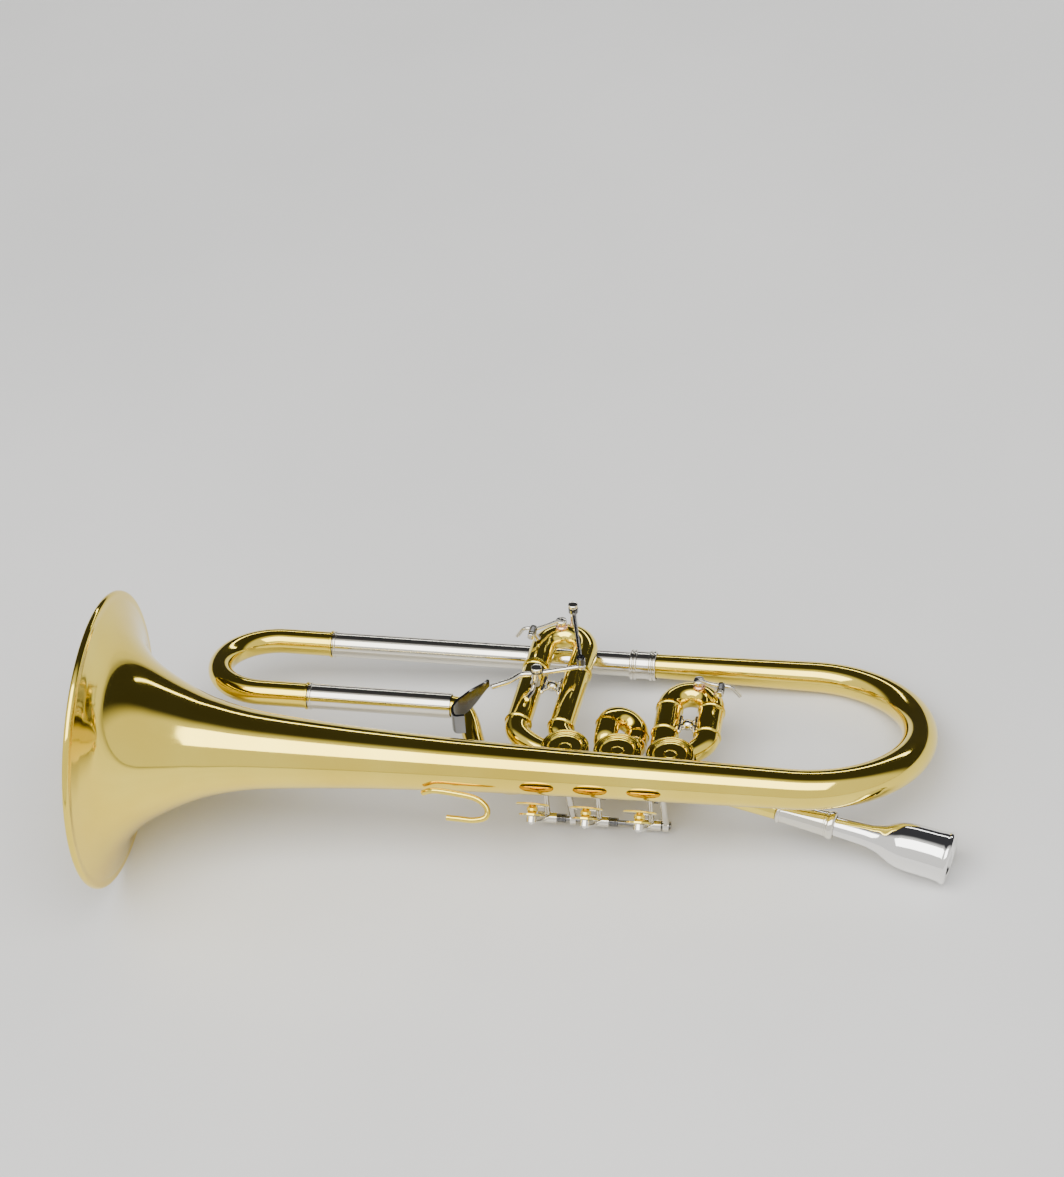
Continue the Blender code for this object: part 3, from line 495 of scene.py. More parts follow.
def bend_between(start, start_way, end, end_way, steps=5):
    """A smooth bend that leaves one point and reaches another in given directions."""
    start, end = Vector(start), Vector(end)
    pull = (end - start).length
    steps *= FINE
    route = []
    for k in range(steps + 1):
        t = k / steps
        route.append((2 * t ** 3 - 3 * t ** 2 + 1) * start + (t ** 3 - 2 * t ** 2 + t) * pull * start_way
                     + (3 * t ** 2 - 2 * t ** 3) * end + (t ** 3 - t ** 2) * pull * end_way)
    return route


def arc(centre, first, second, radius, start_deg, end_deg, steps):
    """Points on a circle in the plane of two unit vectors."""
    centre, first, second = Vector(centre), Vector(first), Vector(second)
    points = []
    steps *= FINE
    for k in range(steps + 1):
        angle = math.radians(start_deg + (end_deg - start_deg) * k / steps)
        points.append(centre + radius * (math.cos(angle) * first + math.sin(angle) * second))
    return points


def smooth_step(t):
    t = min(1.0, max(0.0, t))
    return t * t * (3 - 2 * t)


def mix(a, b, t):
    return a + (b - a) * t


# ---------------------------------------------------------------- bell, bow and main tuning slide

def return_line():
    """Y and Z of the return tube's straight line."""
    drop = Vector((0, math.cos(BOW_TILT), math.sin(BOW_TILT)))
    return 2 * BOW_RADIUS * drop


def smooth_outline(points, per_span):
    """A flowing curve through (distance, radius) points that never turns back between them."""
    slopes = []
    spans = [(b[1] - a[1]) / (b[0] - a[0]) for a, b in zip(points, points[1:])]
    for i in range(len(points)):
        before, after = spans[max(i - 1, 0)], spans[min(i, len(spans) - 1)]
        slopes.append(0.0 if before * after <= 0 else 2 * before * after / (before + after))
    outline = []
    for i, (a, b) in enumerate(zip(points, points[1:])):
        run = b[0] - a[0]
        for k in range(per_span):
            t = k / per_span
            radius = ((2 * t ** 3 - 3 * t ** 2 + 1) * a[1] + (t ** 3 - 2 * t ** 2 + t) * run * slopes[i]
                      + (3 * t ** 2 - 2 * t ** 3) * b[1] + (t ** 3 - t ** 2) * run * slopes[i + 1])
            outline.append((a[0] + run * t, radius))
    outline.append(points[-1])
    return outline


def make_bell(horn):
    """The flare, its wired edge, and the flat ring at its mouth."""
    flare = smooth_outline(BELL_OUTLINE, 10)
    bead = [(1.75 - 1.72 * math.cos(math.radians(a)), 75.3 + 1.55 * math.sin(math.radians(a)))
            for a in range(-10, 171, 12)]
    profile = [(0, RIM_INNER)] + [(0, 74.6)] + bead + [(3.5, 74.4)] + flare
    inner = smooth_outline([(x, r - BELL_WALL) for x, r in BELL_OUTLINE[1:]], 10)
    profile += inner[::-1] + [(2.0, RIM_INNER - 1.5)]
    horn.add("bell", turn_hollow((0, 0, 0), (1, 0, 0), profile, BELL_SIDES), "brass",
             nodes=["bell", "bell_throat", "bell_stem"])


def make_bow(horn):
    across = Vector((0, math.cos(BOW_TILT), math.sin(BOW_TILT)))
    centre = Vector((BOW_CENTRE_X, 0, 0)) + BOW_RADIUS * across
    path = [Vector((BELL_END, 0, 0))]
    path += arc(centre, -across, (1, 0, 0), BOW_RADIUS, 0, 180, 16)
    end = return_line()
    path += [Vector((mix(BOW_CENTRE_X, RETURN_END_X + GAP, k / 12), end.y, end.z)) for k in range(1, 13)]
    half = 8 * FINE
    outer = [BOW_OD_START / 2 + 0.08]
    outer += [mix(BOW_OD_START, BOW_OD_MIDDLE, k / half) / 2 for k in range(half)]
    outer += [mix(BOW_OD_MIDDLE, BOW_OD_END, k / half) / 2 for k in range(half + 1)]
    outer += [mix(BOW_OD_END, RETURN_END_OD, k / 12) / 2 for k in range(1, 13)]
    horn.add("bell_bow", sweep(path, outer, [r - TUBE_WALL for r in outer]), "brass")


def make_tail_ferrule(horn):
    line = return_line()
    bore = SLEEVE_OD / 2 + GAP
    wall = bore + 0.55
    profile = [(0, bore)]
    for start in (0.0, 2.0, 10.2, 12.2):
        profile += bead_ring(start, wall, 1.8, 0.75)
    profile += [(14, bore)]
    start = (RETURN_END_X - 8, line.y, line.z)
    horn.add("tail_ferrule", turn_hollow(start, (1, 0, 0), profile), "nickel")


def bead_ring(start, radius, width, height):
    """A rounded raised ring for a turned profile."""
    return [(start + width * (1 - math.cos(math.radians(a))) / 2, radius + height * math.sin(math.radians(a)))
            for a in range(0, 181, 20)]


def make_tuning_sleeve(horn, name, line, span):
    """An outer tube of the main tuning slide, with a raised ring at its open end."""
    start, end = span
    length = end - start
    outer = SLEEVE_OD / 2
    bore = outer - TUBE_WALL
    profile = [(0, outer)] + bead_ring(length - 0.5 - 1.3, outer, 1.5, 0.6)
    profile += [(length, outer), (length, bore), (0, bore)]
    horn.add(name, turn_hollow((end, line.y, line.z), (-1, 0, 0), profile), "nickel")


def crook_mesh(leg_a, leg_b, out, u_reach, leg_back, crook_od=SLEEVE_OD):
    """A slide's moving piece: two thin legs, a ringed ferrule, and a half-round crook joining them."""
    middle = (leg_a + leg_b) / 2
    across = (leg_a - middle).normalized()
    steps = 12 * FINE
    half = arc(middle, across, out, (leg_a - middle).length, 0, 180, 12)
    thin, thick = crook_od / 2 - 1.2, crook_od / 2
    marks = [(leg_back, thin), (0.02, thin), (0, thick), (-0.15, thick + 0.55), (-0.6, thick + 0.75),
             (-1.2, thick + 0.6), (-1.4, thick)]
    marks = [mark for mark in marks if u_reach + mark[0] > 0.01]
    path = [leg_a - out * (u_reach + back) for back, radius in marks]
    outer = [radius for back, radius in marks]
    ways = [out] * len(path)
    ways += [out * math.cos(math.pi * k / steps) - across * math.sin(math.pi * k / steps)
             for k in range(steps + 1)]
    tail = [leg_b + (p - leg_a) for p in path]
    path += half + tail[::-1]
    outer += [thick] * len(half) + outer[::-1]
    ways += [-out] * len(tail)
    return sweep_fixed(path, ways, across.cross(out).normalized(), outer, thin - TUBE_WALL)


def sweep_fixed(path, ways, normal, outer, bore):
    """A tube whose path lies in one plane, with each ring square to a given direction."""
    bm = bmesh.new()
    frames = [(point, normal, way.cross(normal)) for point, way in zip(path, ways)]
    rounds = list(zip(frames, outer)) + [(frame, bore) for frame in frames[::-1]]
    rings = [add_ring(bm, point, side, up, radius, TUBE_SIDES) for (point, side, up), radius in rounds]
    join_rings(bm, zip(rings, rings[1:] + rings[:1]))
    return finish(bm)


def make_tuning_slide(horn):
    line = return_line()
    leg_a = Vector((TUNING_CENTRE_X, line.y, line.z))
    leg_b = Vector((TUNING_CENTRE_X, FRONT_LEG.y, FRONT_LEG.z))
    step_back = REAR_SLEEVE_X[0] - GAP - TUNING_CENTRE_X
    mesh_data = crook_mesh(leg_a, leg_b, Vector((-1, 0, 0)), step_back,
                           TUNING_LEG_END_X - REAR_SLEEVE_X[0])
    horn.add("main_tuning_slide", mesh_data, "brass")


# ---------------------------------------------------------------- valves and the tubes between them

def way_out(number, port):
    angle = math.radians(PORTS[number][port])
    return Vector((math.cos(angle), math.sin(angle), 0))


def port_point(number, port, reach=PORT_START):
    return Vector((VALVE_X[number], VALVE_Y, TUBE_LEVEL)) + reach * way_out(number, port)


def trim_to_valves(mesh_data):
    """Cuts a tube back from the casings it comes close to."""
    cutters = [turn((x, VALVE_Y, VALVE_TOP + 3), (0, 0, -1), [(0, CASING_R + GAP), (32, CASING_R + GAP)], 96)
               for x in VALVE_X.values()]
    return cut_away(mesh_data, cutters)


def make_casing(horn, number):
    start = (VALVE_X[number], VALVE_Y, VALVE_TOP)
    depth = VALVE_TOP - VALVE_FLOOR
    full = VALVE_TOP - VALVE_BASE
    profile = [(0, CASING_R - 0.2), (0.2, CASING_R)] + bead_ring(0.9, CASING_R, 1.4, 0.3)
    profile += bead_ring(full - 3.6, CASING_R, 1.4, 0.3)
    profile += [(full - 0.6, CASING_R), (full, CASING_R - 0.6), (full, SHAFT_R + GAP), (depth, SHAFT_R + GAP),
                (depth, CASING_BORE), (0, CASING_BORE)]
    shell = turn_hollow(start, (0, 0, -1), profile, VALVE_SIDES)
    cutters = [sweep([port_point(number, port, 6), port_point(number, port, 16)], PORT_R, sides=TUBE_SIDES)
               for port in PORTS[number]]
    horn.add(f"valve_casing_{number}", cut_away(shell, cutters), "brass")


def make_rotor(horn, number):
    axis = Vector((VALVE_X[number], VALVE_Y, VALVE_FLOOR + GAP))
    height = VALVE_TOP - VALVE_FLOOR - 2 * GAP
    body = turn(axis, (0, 0, 1), [(0, ROTOR_R), (height, ROTOR_R)], VALVE_SIDES)
    ways = []
    for pair in (("a", "b"), ("in", "out")):
        outward = (way_out(number, pair[0]) + way_out(number, pair[1])).normalized()
        corner = Vector((axis.x, axis.y, TUBE_LEVEL)) + outward * ROTOR_R * math.sqrt(2)
        bend = arc(corner, -outward, Vector((outward.y, -outward.x, 0)), ROTOR_R, -48, 48, 4)
        ways.append(sweep(bend, ROTOR_WAY_R, sides=SMALL_SIDES))
    horn.add(f"valve_rotor_{number}", cut_away(body, ways), "steel")


def make_cap(horn, number):
    """The screwed top: two bright raised rims round a dished plate with a small centre boss."""
    base = (VALVE_X[number], VALVE_Y, VALVE_TOP + GAP)
    rims = [(0, CAP_R), (0.9, CAP_R), (1.0, CAP_R - 0.35), (1.25, CAP_R - 0.35), (1.4, CAP_R),
            (1.9, CAP_R), (2.4, CAP_R - 0.5), (2.4, CAP_R - 1.1), (1.3, CAP_R - 1.6), (1.3, CAP_R - 2.3),
            (2.2, CAP_R - 2.8), (2.2, CAP_R - 3.4), (1.2, CAP_R - 4.0), (1.0, 5.5), (1.0, 3.4), (1.8, 3.0),
            (2.0, 2.2), (2.0, 0.6)]
    horn.add(f"valve_cap_{number}", turn(base, (0, 0, 1), soften(rims, 0.3), VALVE_SIDES), "brass")


def make_stop_arm(horn, number):
    """The rotor's shaft with the arm under the casing that the key's link turns."""
    axis = Vector((VALVE_X[number], VALVE_Y, VALVE_FLOOR + GAP / 2))
    shaft = turn((axis.x, axis.y, VALVE_FLOOR), (0, 0, -1), [(0, SHAFT_R), (5.6, SHAFT_R)], SMALL_SIDES)
    hub = turn((axis.x, axis.y, VALVE_BASE - GAP), (0, 0, -1), [(0, 3.4), (3.2, 3.4)], SMALL_SIDES)
    pin = pin_point(number)
    arm = turn((pin.x, pin.y, VALVE_BASE - GAP), (0, 0, -1),
               [(0, 2.2), (1.6, 2.2), (1.6, 1.0), (3.6, 1.0)], SMALL_SIDES)
    screw = knurled_head((axis.x, axis.y, VALVE_BASE - GAP - 3.2), (0, 0, -1), 1.6, 2.4)
    horn.add(f"stop_arm_{number}", join(shaft, [hub, arm, screw]), "nickel")


def pin_point(number):
    """Where the link meets the stop arm at rest; the pull turns it a quarter turn about the rotor."""
    swing = PIN_RADIUS * math.sqrt(0.5)
    return Vector((VALVE_X[number] - swing, VALVE_Y + swing, LINK_LEVEL))


def make_valve_link(horn, left):
    """The short bend that joins a valve to the next one along, under the bell tube."""
    right = left - 1
    start = port_point(right, "out", PORT_START + 0.4)
    end = port_point(left, "in", PORT_START + 0.6)
    path = bend_between(start, way_out(right, "out"), end, -way_out(left, "in"), 5)
    horn.add(f"valve_link_{right}{left}", sweep(path, 4.7, 4.1), "brass")


def make_exit_tube(horn):
    start = port_point(3, "out")
    out = way_out(3, "out")
    sleeve_end = Vector((FRONT_SLEEVE_X[1] + GAP, FRONT_LEG.y, FRONT_LEG.z))
    under = Vector((207, 9.5, -20.5))
    rise = Vector((184, 38, -21))
    under_way = Vector((-1, 0.1, -0.1)).normalized()
    rise_way = Vector((-0.4, 0.92, 0.05)).normalized()
    path = bend_between(start, out, under, under_way)[:-1]
    path += bend_between(under, under_way, rise, rise_way)[:-1]
    path += bend_between(rise, rise_way, sleeve_end, Vector((-1, 0, 0)))
    tube = sweep(path, PORT_OD / 2 - 0.4, PORT_OD / 2 - 1.0)
    horn.add("valve_exit_tube", trim_to_valves(tube), "brass")


# ---------------------------------------------------------------- valve slides

def slide_direction(number):
    lean = SLIDE_LEAN[number]
    return Vector((math.sin(lean), math.cos(lean), 0))


def leg_point(number, sign, y):
    """A point on one leg's axis; sign -1 is the leg nearer the bell's rim."""
    out = slide_direction(number)
    across = Vector((out.y, -out.x, 0))
    base = Vector((SLIDE_X[number], 40.0, TUBE_LEVEL))
    return base + out * ((y - 40.0) / out.y) + across * sign * SLIDE_SPACING[number] / 2


def make_slide_sleeves(horn, number):
    out = slide_direction(number)
    for letter, sign in (("a", -1), ("b", 1)):
        port = port_point(number, letter)
        top = leg_point(number, sign, SLEEVE_END_Y[number])
        bend = bend_between(port, way_out(number, letter), leg_point(number, sign, 45.8), out)
        rings = [(46.0 + 2.0 * k / 8, 0.75 * math.sin(math.pi * k / 8)) for k in range(9)]
        last = SLEEVE_END_Y[number]
        rings += [(last - 1.6 + 1.5 * k / 8, 0.6 * math.sin(math.pi * k / 8)) for k in range(9)]
        path = bend + [leg_point(number, sign, y) for y, height in rings] + [top]
        wide = SLEEVE_OD / 2
        grow = len(bend)
        outer = [mix(5.4, wide, k / (grow - 1)) for k in range(grow)]
        outer += [wide + height for y, height in rings] + [wide]
        bore = [mix(4.8, wide - 0.5, k / (grow - 1)) for k in range(grow)]
        bore += [wide - 0.5] * (len(path) - grow)
        horn.add(f"slide_{number}_sleeve_{letter}", trim_to_valves(sweep(path, outer, bore)), "brass")


def make_slide_crook(horn, number):
    out = slide_direction(number)
    middle_y = CROOK_CENTRE_Y[number]
    leg_a = leg_point(number, -1, middle_y)
    leg_b = leg_point(number, 1, middle_y)
    step_back = middle_y - SLEEVE_END_Y[number] - GAP
    mesh_data = crook_mesh(leg_a, leg_b, out, step_back, SLEEVE_END_Y[number] - INNER_LEG_Y[number])
    horn.add(f"slide_{number}_crook", mesh_data, "brass")


def make_slide_2(horn):
    """The short middle slide, its far leg lower than its near one."""
    out = Vector((0, 1, 0))
    wide = SLIDE_2_OD / 2
    for letter, leg in zip("ab", SLIDE_2_LEGS):
        port = port_point(2, letter)
        bend = bend_between(port, way_out(2, letter), leg + out * (SLIDE_2_SLEEVE_END - 6.5), out, 4)
        path = bend + [leg + out * SLIDE_2_SLEEVE_END]
        outer = [mix(5.2, wide, k / (len(bend) - 1)) for k in range(len(bend))] + [wide]
        tube = sweep(path, outer, [r - TUBE_WALL for r in outer])
        horn.add(f"slide_2_sleeve_{letter}", trim_to_valves(tube), "brass")
    leg_a, leg_b = (leg + out * SLIDE_2_CENTRE_Y for leg in SLIDE_2_LEGS)
    step_back = SLIDE_2_CENTRE_Y - SLIDE_2_SLEEVE_END - GAP
    mesh_data = crook_mesh(leg_a, leg_b, out, step_back, 5.5, SLIDE_2_OD)
    horn.add("slide_2_crook", mesh_data, "brass")


def make_slide_brace(horn, number, y):
    """A ball with four slender arms that spread to the two fixed sleeves."""
    start = leg_point(number, -1, y)
    end = leg_point(number, 1, y)
    out = slide_direction(number)
    reach = (end - start).normalized()
    clear = SLEEVE_OD / 2 + 0.1
    length = SLIDE_SPACING[number] - 2 * clear
    middle = (start + end) / 2
    core = [(length / 2 - 3.0 + 3.0 * (1 - math.cos(math.radians(a))), 0.05 + 2.9 * math.sin(math.radians(a)))
            for a in range(0, 181, 10)]
    ball = turn(start + reach * clear, reach, core, VALVE_SIDES)
    arms = []
    for side in (-1, 1):
        for spread in (-1, 1):
            foot = middle + reach * side * (length / 2 + 0.5) + out * spread * 4.4
            route = curve_through([middle, mix(middle, foot, 0.55) + out * spread * 0.5, foot], 3)
            last = len(route) - 1
            arms.append(sweep(route, [mix(1.25, 0.85, math.sin(math.pi * k / last)) for k in range(last + 1)],
                              sides=SMALL_SIDES))
        pad = middle + reach * side * (length / 2 + 0.1)
        arms.append(sweep([pad - out * 6.4, pad - out * 5.6, pad + out * 5.6, pad + out * 6.4],
                          [0.5, 1.3, 1.3, 0.5], sides=SMALL_SIDES))
    horn.add(f"slide_brace_{number}", join(ball, arms), "nickel")


# ---------------------------------------------------------------- leadpipe and mouthpiece

def lead_direction():
    return (LEAD_END - LEAD_START).normalized()


def make_leadpipe(horn):
    start = port_point(1, "in")
    run = lead_direction()
    stop = LEAD_END - run * (RECEIVER_LENGTH + GAP)
    path = bend_between(start, way_out(1, "in"), LEAD_START, run, 4) + [mix(LEAD_START, stop, 0.5), stop]
    outer = [mix(PORT_OD / 2 - 0.3, 5.2, k / (len(path) - 1)) for k in range(len(path))]
    horn.add("leadpipe", trim_to_valves(sweep(path, outer, [r - TUBE_WALL for r in outer])), "brass")


def make_receiver(horn):
    run = lead_direction()
    start = LEAD_END - run * RECEIVER_LENGTH
    profile = [(0, 5.6)] + bead_ring(0.3, 5.9, 2.0, 0.7) + [(2.8, 6.0), (5.0, 5.9), (24, 6.4)]
    profile += bead_ring(24.4, 6.4, 1.2, 0.35) + bead_ring(26.2, 6.5, 3.6, 0.8)
    profile += [(30, 6.3), (30, 5.4), (0, 4.6)]
    horn.add("mouthpiece_receiver", turn_hollow(start, run, profile), "nickel")


def make_mouthpiece(horn):
    """Held in the receiver by its taper; the throat runs right through."""
    run = lead_direction()
    start = LEAD_END - run * MOUTHPIECE_HELD
    reach = MOUTHPIECE_HELD + MOUTHPIECE_REACH
    outside = smooth_outline([(0, 4.25), (22, 4.95), (30, 5.3), (38, 5.7), (45, 7.2), (51, 9.9), (56, 11.5),
                              (62, 12.2), (74, 12.5), (reach - 3.4, 12.9)], 6)
    rim = [(reach - 2.0 + 2.0 * math.sin(math.radians(a)), 11.6 + 1.9 * math.cos(math.radians(a)))
           for a in range(-20, 171, 10)]
    inside = smooth_outline([(reach - 1.5, 9.5), (reach - 2.6, 8.7), (reach - 8, 7.9), (reach - 14, 6.2),
                             (reach - 20, 3.4), (reach - 25, 2.2), (22, 2.6), (0, 3.7)], 6)
    profile = outside + rim + inside
    horn.add("mouthpiece", turn_hollow(start, run, profile, VALVE_SIDES), "silver")


# ---------------------------------------------------------------- keys

def key_x(number):
    """Each key sits a little to the rim's side of its valve, in line with its link."""
    return pin_point(number).x - KEY_OFFSET


def make_key_lever(horn, number):
    """A hub on the axle with a long arm to the touchpiece and a short crank to the link."""
    x = key_x(number)
    pivot = Vector((x, AXLE.y, AXLE.z))
    hub = turn_hollow(pivot - Vector((5, 0, 0)), (1, 0, 0), [(0, HUB_R), (10, HUB_R), (10, AXLE_R + GAP),
                                                            (0, AXLE_R + GAP)], TUBE_SIDES)
    touch = Vector((x, TOUCH.y, TOUCH.z))
    reach = (touch - pivot).normalized()
    bend = pivot + reach * 28 - touch_normal() * 3.5
    arm = sweep(curve_through([pivot + reach * 2.4, bend, touch - touch_normal() * 6.0], 2), 1.5,
                sides=SMALL_SIDES)
    pad = turn(touch - touch_normal() * 6.4, touch_normal(), [(0, 2.6), (2.8, 2.6)], SMALL_SIDES)
    crank = sweep([pivot + Vector((0, 0, 2.4)), pivot + Vector((0, 0, CRANK + 2.2))], 1.5, sides=SMALL_SIDES)
    horn.add(f"key_lever_{number}", join(hub, [arm, pad, crank]), "nickel")


def touch_normal():
    """The way a touchpiece faces: square to its arm, toward the bell tube."""
    reach = (TOUCH - AXLE).normalized()
    return Vector((0, reach.z, -reach.y))


def make_touchpiece(horn, number):
    """Two thin discs with a ball between them."""
    centre = Vector((key_x(number), TOUCH.y, TOUCH.z))
    profile = [(-3.2, 6.6), (-2.4, 6.6), (-2.3, 1.6), (-1.2, 2.5), (0, 2.9), (1.2, 2.5), (1.9, 1.6),
               (2.0, TOUCH_R - 0.4), (2.4, TOUCH_R), (2.9, TOUCH_R - 0.6)]
    horn.add(f"touchpiece_{number}", turn(centre, touch_normal(), profile, TUBE_SIDES), "brass")


def make_key_link(horn, number):
    """The rod from the lever's crank to the stop arm, open at the stop arm's end."""
    pin = pin_point(number)
    start = Vector((key_x(number), AXLE.y, LINK_LEVEL))
    head = turn(start + Vector((1.9, 0, 0)), (1, 0, 0), [(0, 1.7), (2.2, 1.7)], SMALL_SIDES)
    drop = Vector((pin.x, pin.y, VALVE_BASE - GAP - 3.6 - 1.9))
    path = [start + Vector((3, 0, 0)), Vector((start.x + 4.2, start.y + 4.0, drop.z)),
            drop + Vector((-1.2, -3.0, 0)), drop]
    rod = sweep(curve_through(path, 2), 0.9, sides=SMALL_SIDES)
    eye = turn(drop - Vector((0, 0, 1.0)), (0, 0, 1), [(0, 1.9), (2.4, 1.9)], SMALL_SIDES)
    horn.add(f"key_link_{number}", join(rod, [head, eye]), "steel")


def make_key_axle(horn):
    first = Vector((key_x(3) - 10, AXLE.y, AXLE.z))
    length = key_x(1) + 10 - first.x
    horn.add("key_axle", turn(first, (1, 0, 0), [(0, AXLE_R), (length, AXLE_R)], SMALL_SIDES), "steel")


def make_key_spring(horn, number):
    """The wire spring round the axle that lifts the key."""
    place = Vector((key_x(number) + 5.3, AXLE.y, AXLE.z))
    wire = coil(place, (1, 0, 0), AXLE_R + 0.75, 4.2, 6, 0.32)
    horn.add(f"key_spring_{number}", wire, "steel", body="horn")


def make_axle_post(horn, name, x, foot):
    """A post from the bell tube's underside to an eye around the axle."""
    centre = Vector((x, AXLE.y, AXLE.z))
    eye = turn_hollow(centre - Vector((1.5, 0, 0)), (1, 0, 0), [(0, 3.2), (3, 3.2), (3, AXLE_R + GAP),
                                                               (0, AXLE_R + GAP)], TUBE_SIDES)
    toward = (foot - centre).normalized()
    stem = sweep([centre + toward * 2.3, foot], [1.7, 2.0], sides=SMALL_SIDES)
    horn.add(name, join(eye, [stem]), "nickel")


# ---------------------------------------------------------------- slide trigger, water keys, hook

def make_trigger_post(horn):
    """Stands on the third slide's sleeve; its pin carries the trigger lever."""
    base = Vector((TRIGGER_PIVOT.x - 1.5, TRIGGER_PIVOT.y, TUBE_LEVEL + SLEEVE_OD / 2 + GAP + 0.1))
    stand = TRIGGER_PIVOT - Vector((0, 0, 2.3))
    stem = sweep([base, stand], [2.6, 2.0], sides=TUBE_SIDES)
    steps = ((-2, -14, 1.4), (0, -7, 1.6), (0, 0, 2.2), (0, 6, 1.4))
    foot = sweep(curve_through([base + Vector(step) for step in steps], 3), 1.2, sides=SMALL_SIDES)
    pin = turn(stand, (0, 0, 1), [(-0.5, 1.1), (4.6, 1.1)], SMALL_SIDES)
    screw = knurled_head(stand + Vector((0, 0, 4.4)), (0, 0, 1), 2.5, 2.7)
    horn.add("trigger_post", join(stem, [foot, pin, screw]), "nickel")


def make_trigger_lever(horn):
    """A bent bar: thumb end, eye on the post, and the ball end that moves the slide."""
    eye = turn_hollow(TRIGGER_PIVOT - Vector((0, 0, 1.5)), (0, 0, 1), [(0, 3.3), (3, 3.3), (3, 1.6),
                                                                      (0, 1.6)], TUBE_SIDES)
    to_tip = (TRIGGER_TIP - TRIGGER_PIVOT).normalized()
    to_knee = (TRIGGER_KNEE - TRIGGER_PIVOT).normalized()
    tip_arm = sweep([TRIGGER_PIVOT + to_tip * 2.6, TRIGGER_TIP], [1.5, 1.2], sides=SMALL_SIDES)
    shin = mix(TRIGGER_KNEE, TRIGGER_SADDLE, 0.45) + Vector((0.8, -0.6, 0))
    thumb_route = curve_through([TRIGGER_PIVOT + to_knee * 2.6, TRIGGER_KNEE, shin, TRIGGER_SADDLE], 3)
    thumb_arm = sweep(thumb_route, 1.5, sides=SMALL_SIDES)
    ball = turn(TRIGGER_TIP - Vector((0, 0, 1.6)), (0, 0, 1), [(0, 1.2), (0.6, 1.9), (1.6, 2.2), (2.6, 1.9),
                                                              (3.2, 1.2)], SMALL_SIDES)
    horn.add("trigger_lever", join(eye, [tip_arm, thumb_arm, ball]), "nickel")


def make_trigger_saddle(horn):
    """The curled thumb plate: a bent strip, open toward the valves."""
    steps = ((-2, 3), (-6, -4.5), (-10.5, -12.5), (-14.5, -18.5), (-15.8, -24), (-13.5, -29), (-8.6, -28.4))
    outline = [TRIGGER_SADDLE + Vector((x, y, 0)) for x, y in steps]
    route = curve_through(outline, 3)
    bm = bmesh.new()
    last = len(route) - 1
    rings = []
    for i, point in enumerate(route):
        along = (route[min(i + 1, last)] - route[max(i - 1, 0)]).normalized()
        side = along.cross(Vector((0, 0, 1))).normalized()
        half_high = mix(2.2, 6.0, smooth_step(i / (6 * FINE)))
        corners = [side * 0.7 + Vector((0, 0, half_high)), side * 0.7 - Vector((0, 0, half_high)),
                   -side * 0.7 - Vector((0, 0, half_high)), -side * 0.7 + Vector((0, 0, half_high))]
        rings.append([bm.verts.new(point + corner) for corner in corners])
    join_rings(bm, zip(rings, rings[1:]))
    bm.faces.new(rings[0])
    bm.faces.new(rings[-1])
    horn.add("trigger_saddle", finish(bm), "steel")


def make_trigger_link(horn):
    """The short rod over the lever's ball end that carries its push to the crook's post."""
    level = 3.4
    start = Vector((CROOK_POST.x, CROOK_POST.y, level))
    end = Vector((TRIGGER_TIP.x, TRIGGER_TIP.y, level))
    ring = [(0, 2.6), (2.4, 2.6), (2.4, 1.4), (0, 1.4)]
    eye = turn_hollow(start - Vector((0, 0, 1.2)), (0, 0, 1), ring, SMALL_SIDES)
    toward = (end - start).normalized()
    rod = sweep([start + toward * 2.0, end], 1.0, sides=SMALL_SIDES)
    knob = [(0, 2.2), (4.2, 2.2), (4.2, 1.6), (5.0, 1.6)]
    head = turn(end - Vector((0, 0, 1.3)), (0, 0, 1), knob, SMALL_SIDES)
    horn.add("trigger_link", join(eye, [rod, head]), "steel")


def make_crook_post(horn):
    """The screw post on the third slide's crook that the trigger's link turns about."""
    foot = Vector((CROOK_POST.x, CROOK_POST.y, TUBE_LEVEL + SLEEVE_OD / 2 + GAP))
    height = 6.2 - foot.z
    profile = [(0, 2.6), (2, 1.9), (1.9 - foot.z, 1.9), (1.9 - foot.z, 1.1), (height - 1, 1.1),
               (height - 1, 2.2), (height + 1.4, 2.2)]
    post = turn(foot, (0, 0, 1), soften(profile, 0.3), VALVE_SIDES)
    screw = knurled_head(foot + Vector((0, 0, height - 1)), (0, 0, 1), 2.4, 2.5)
    horn.add("crook_post", join(post, [screw]), "nickel")


def spout_foot(number, sign):
    """The top of the crook's tube near its far end, a little to the water key's side."""
    out = slide_direction(number)
    leg_a, leg_b = (leg_point(number, leg, CROOK_CENTRE_Y[number]) for leg in (-1, 1))
    middle = (leg_a + leg_b) / 2
    side = Vector((out.y, -out.x, 0)) * sign
    onward = math.sqrt((SLIDE_SPACING[number] / 2) ** 2 - SPOUT_OFFSET ** 2)
    return middle + side * SPOUT_OFFSET + out * onward + Vector((0, 0, SLEEVE_OD / 2))


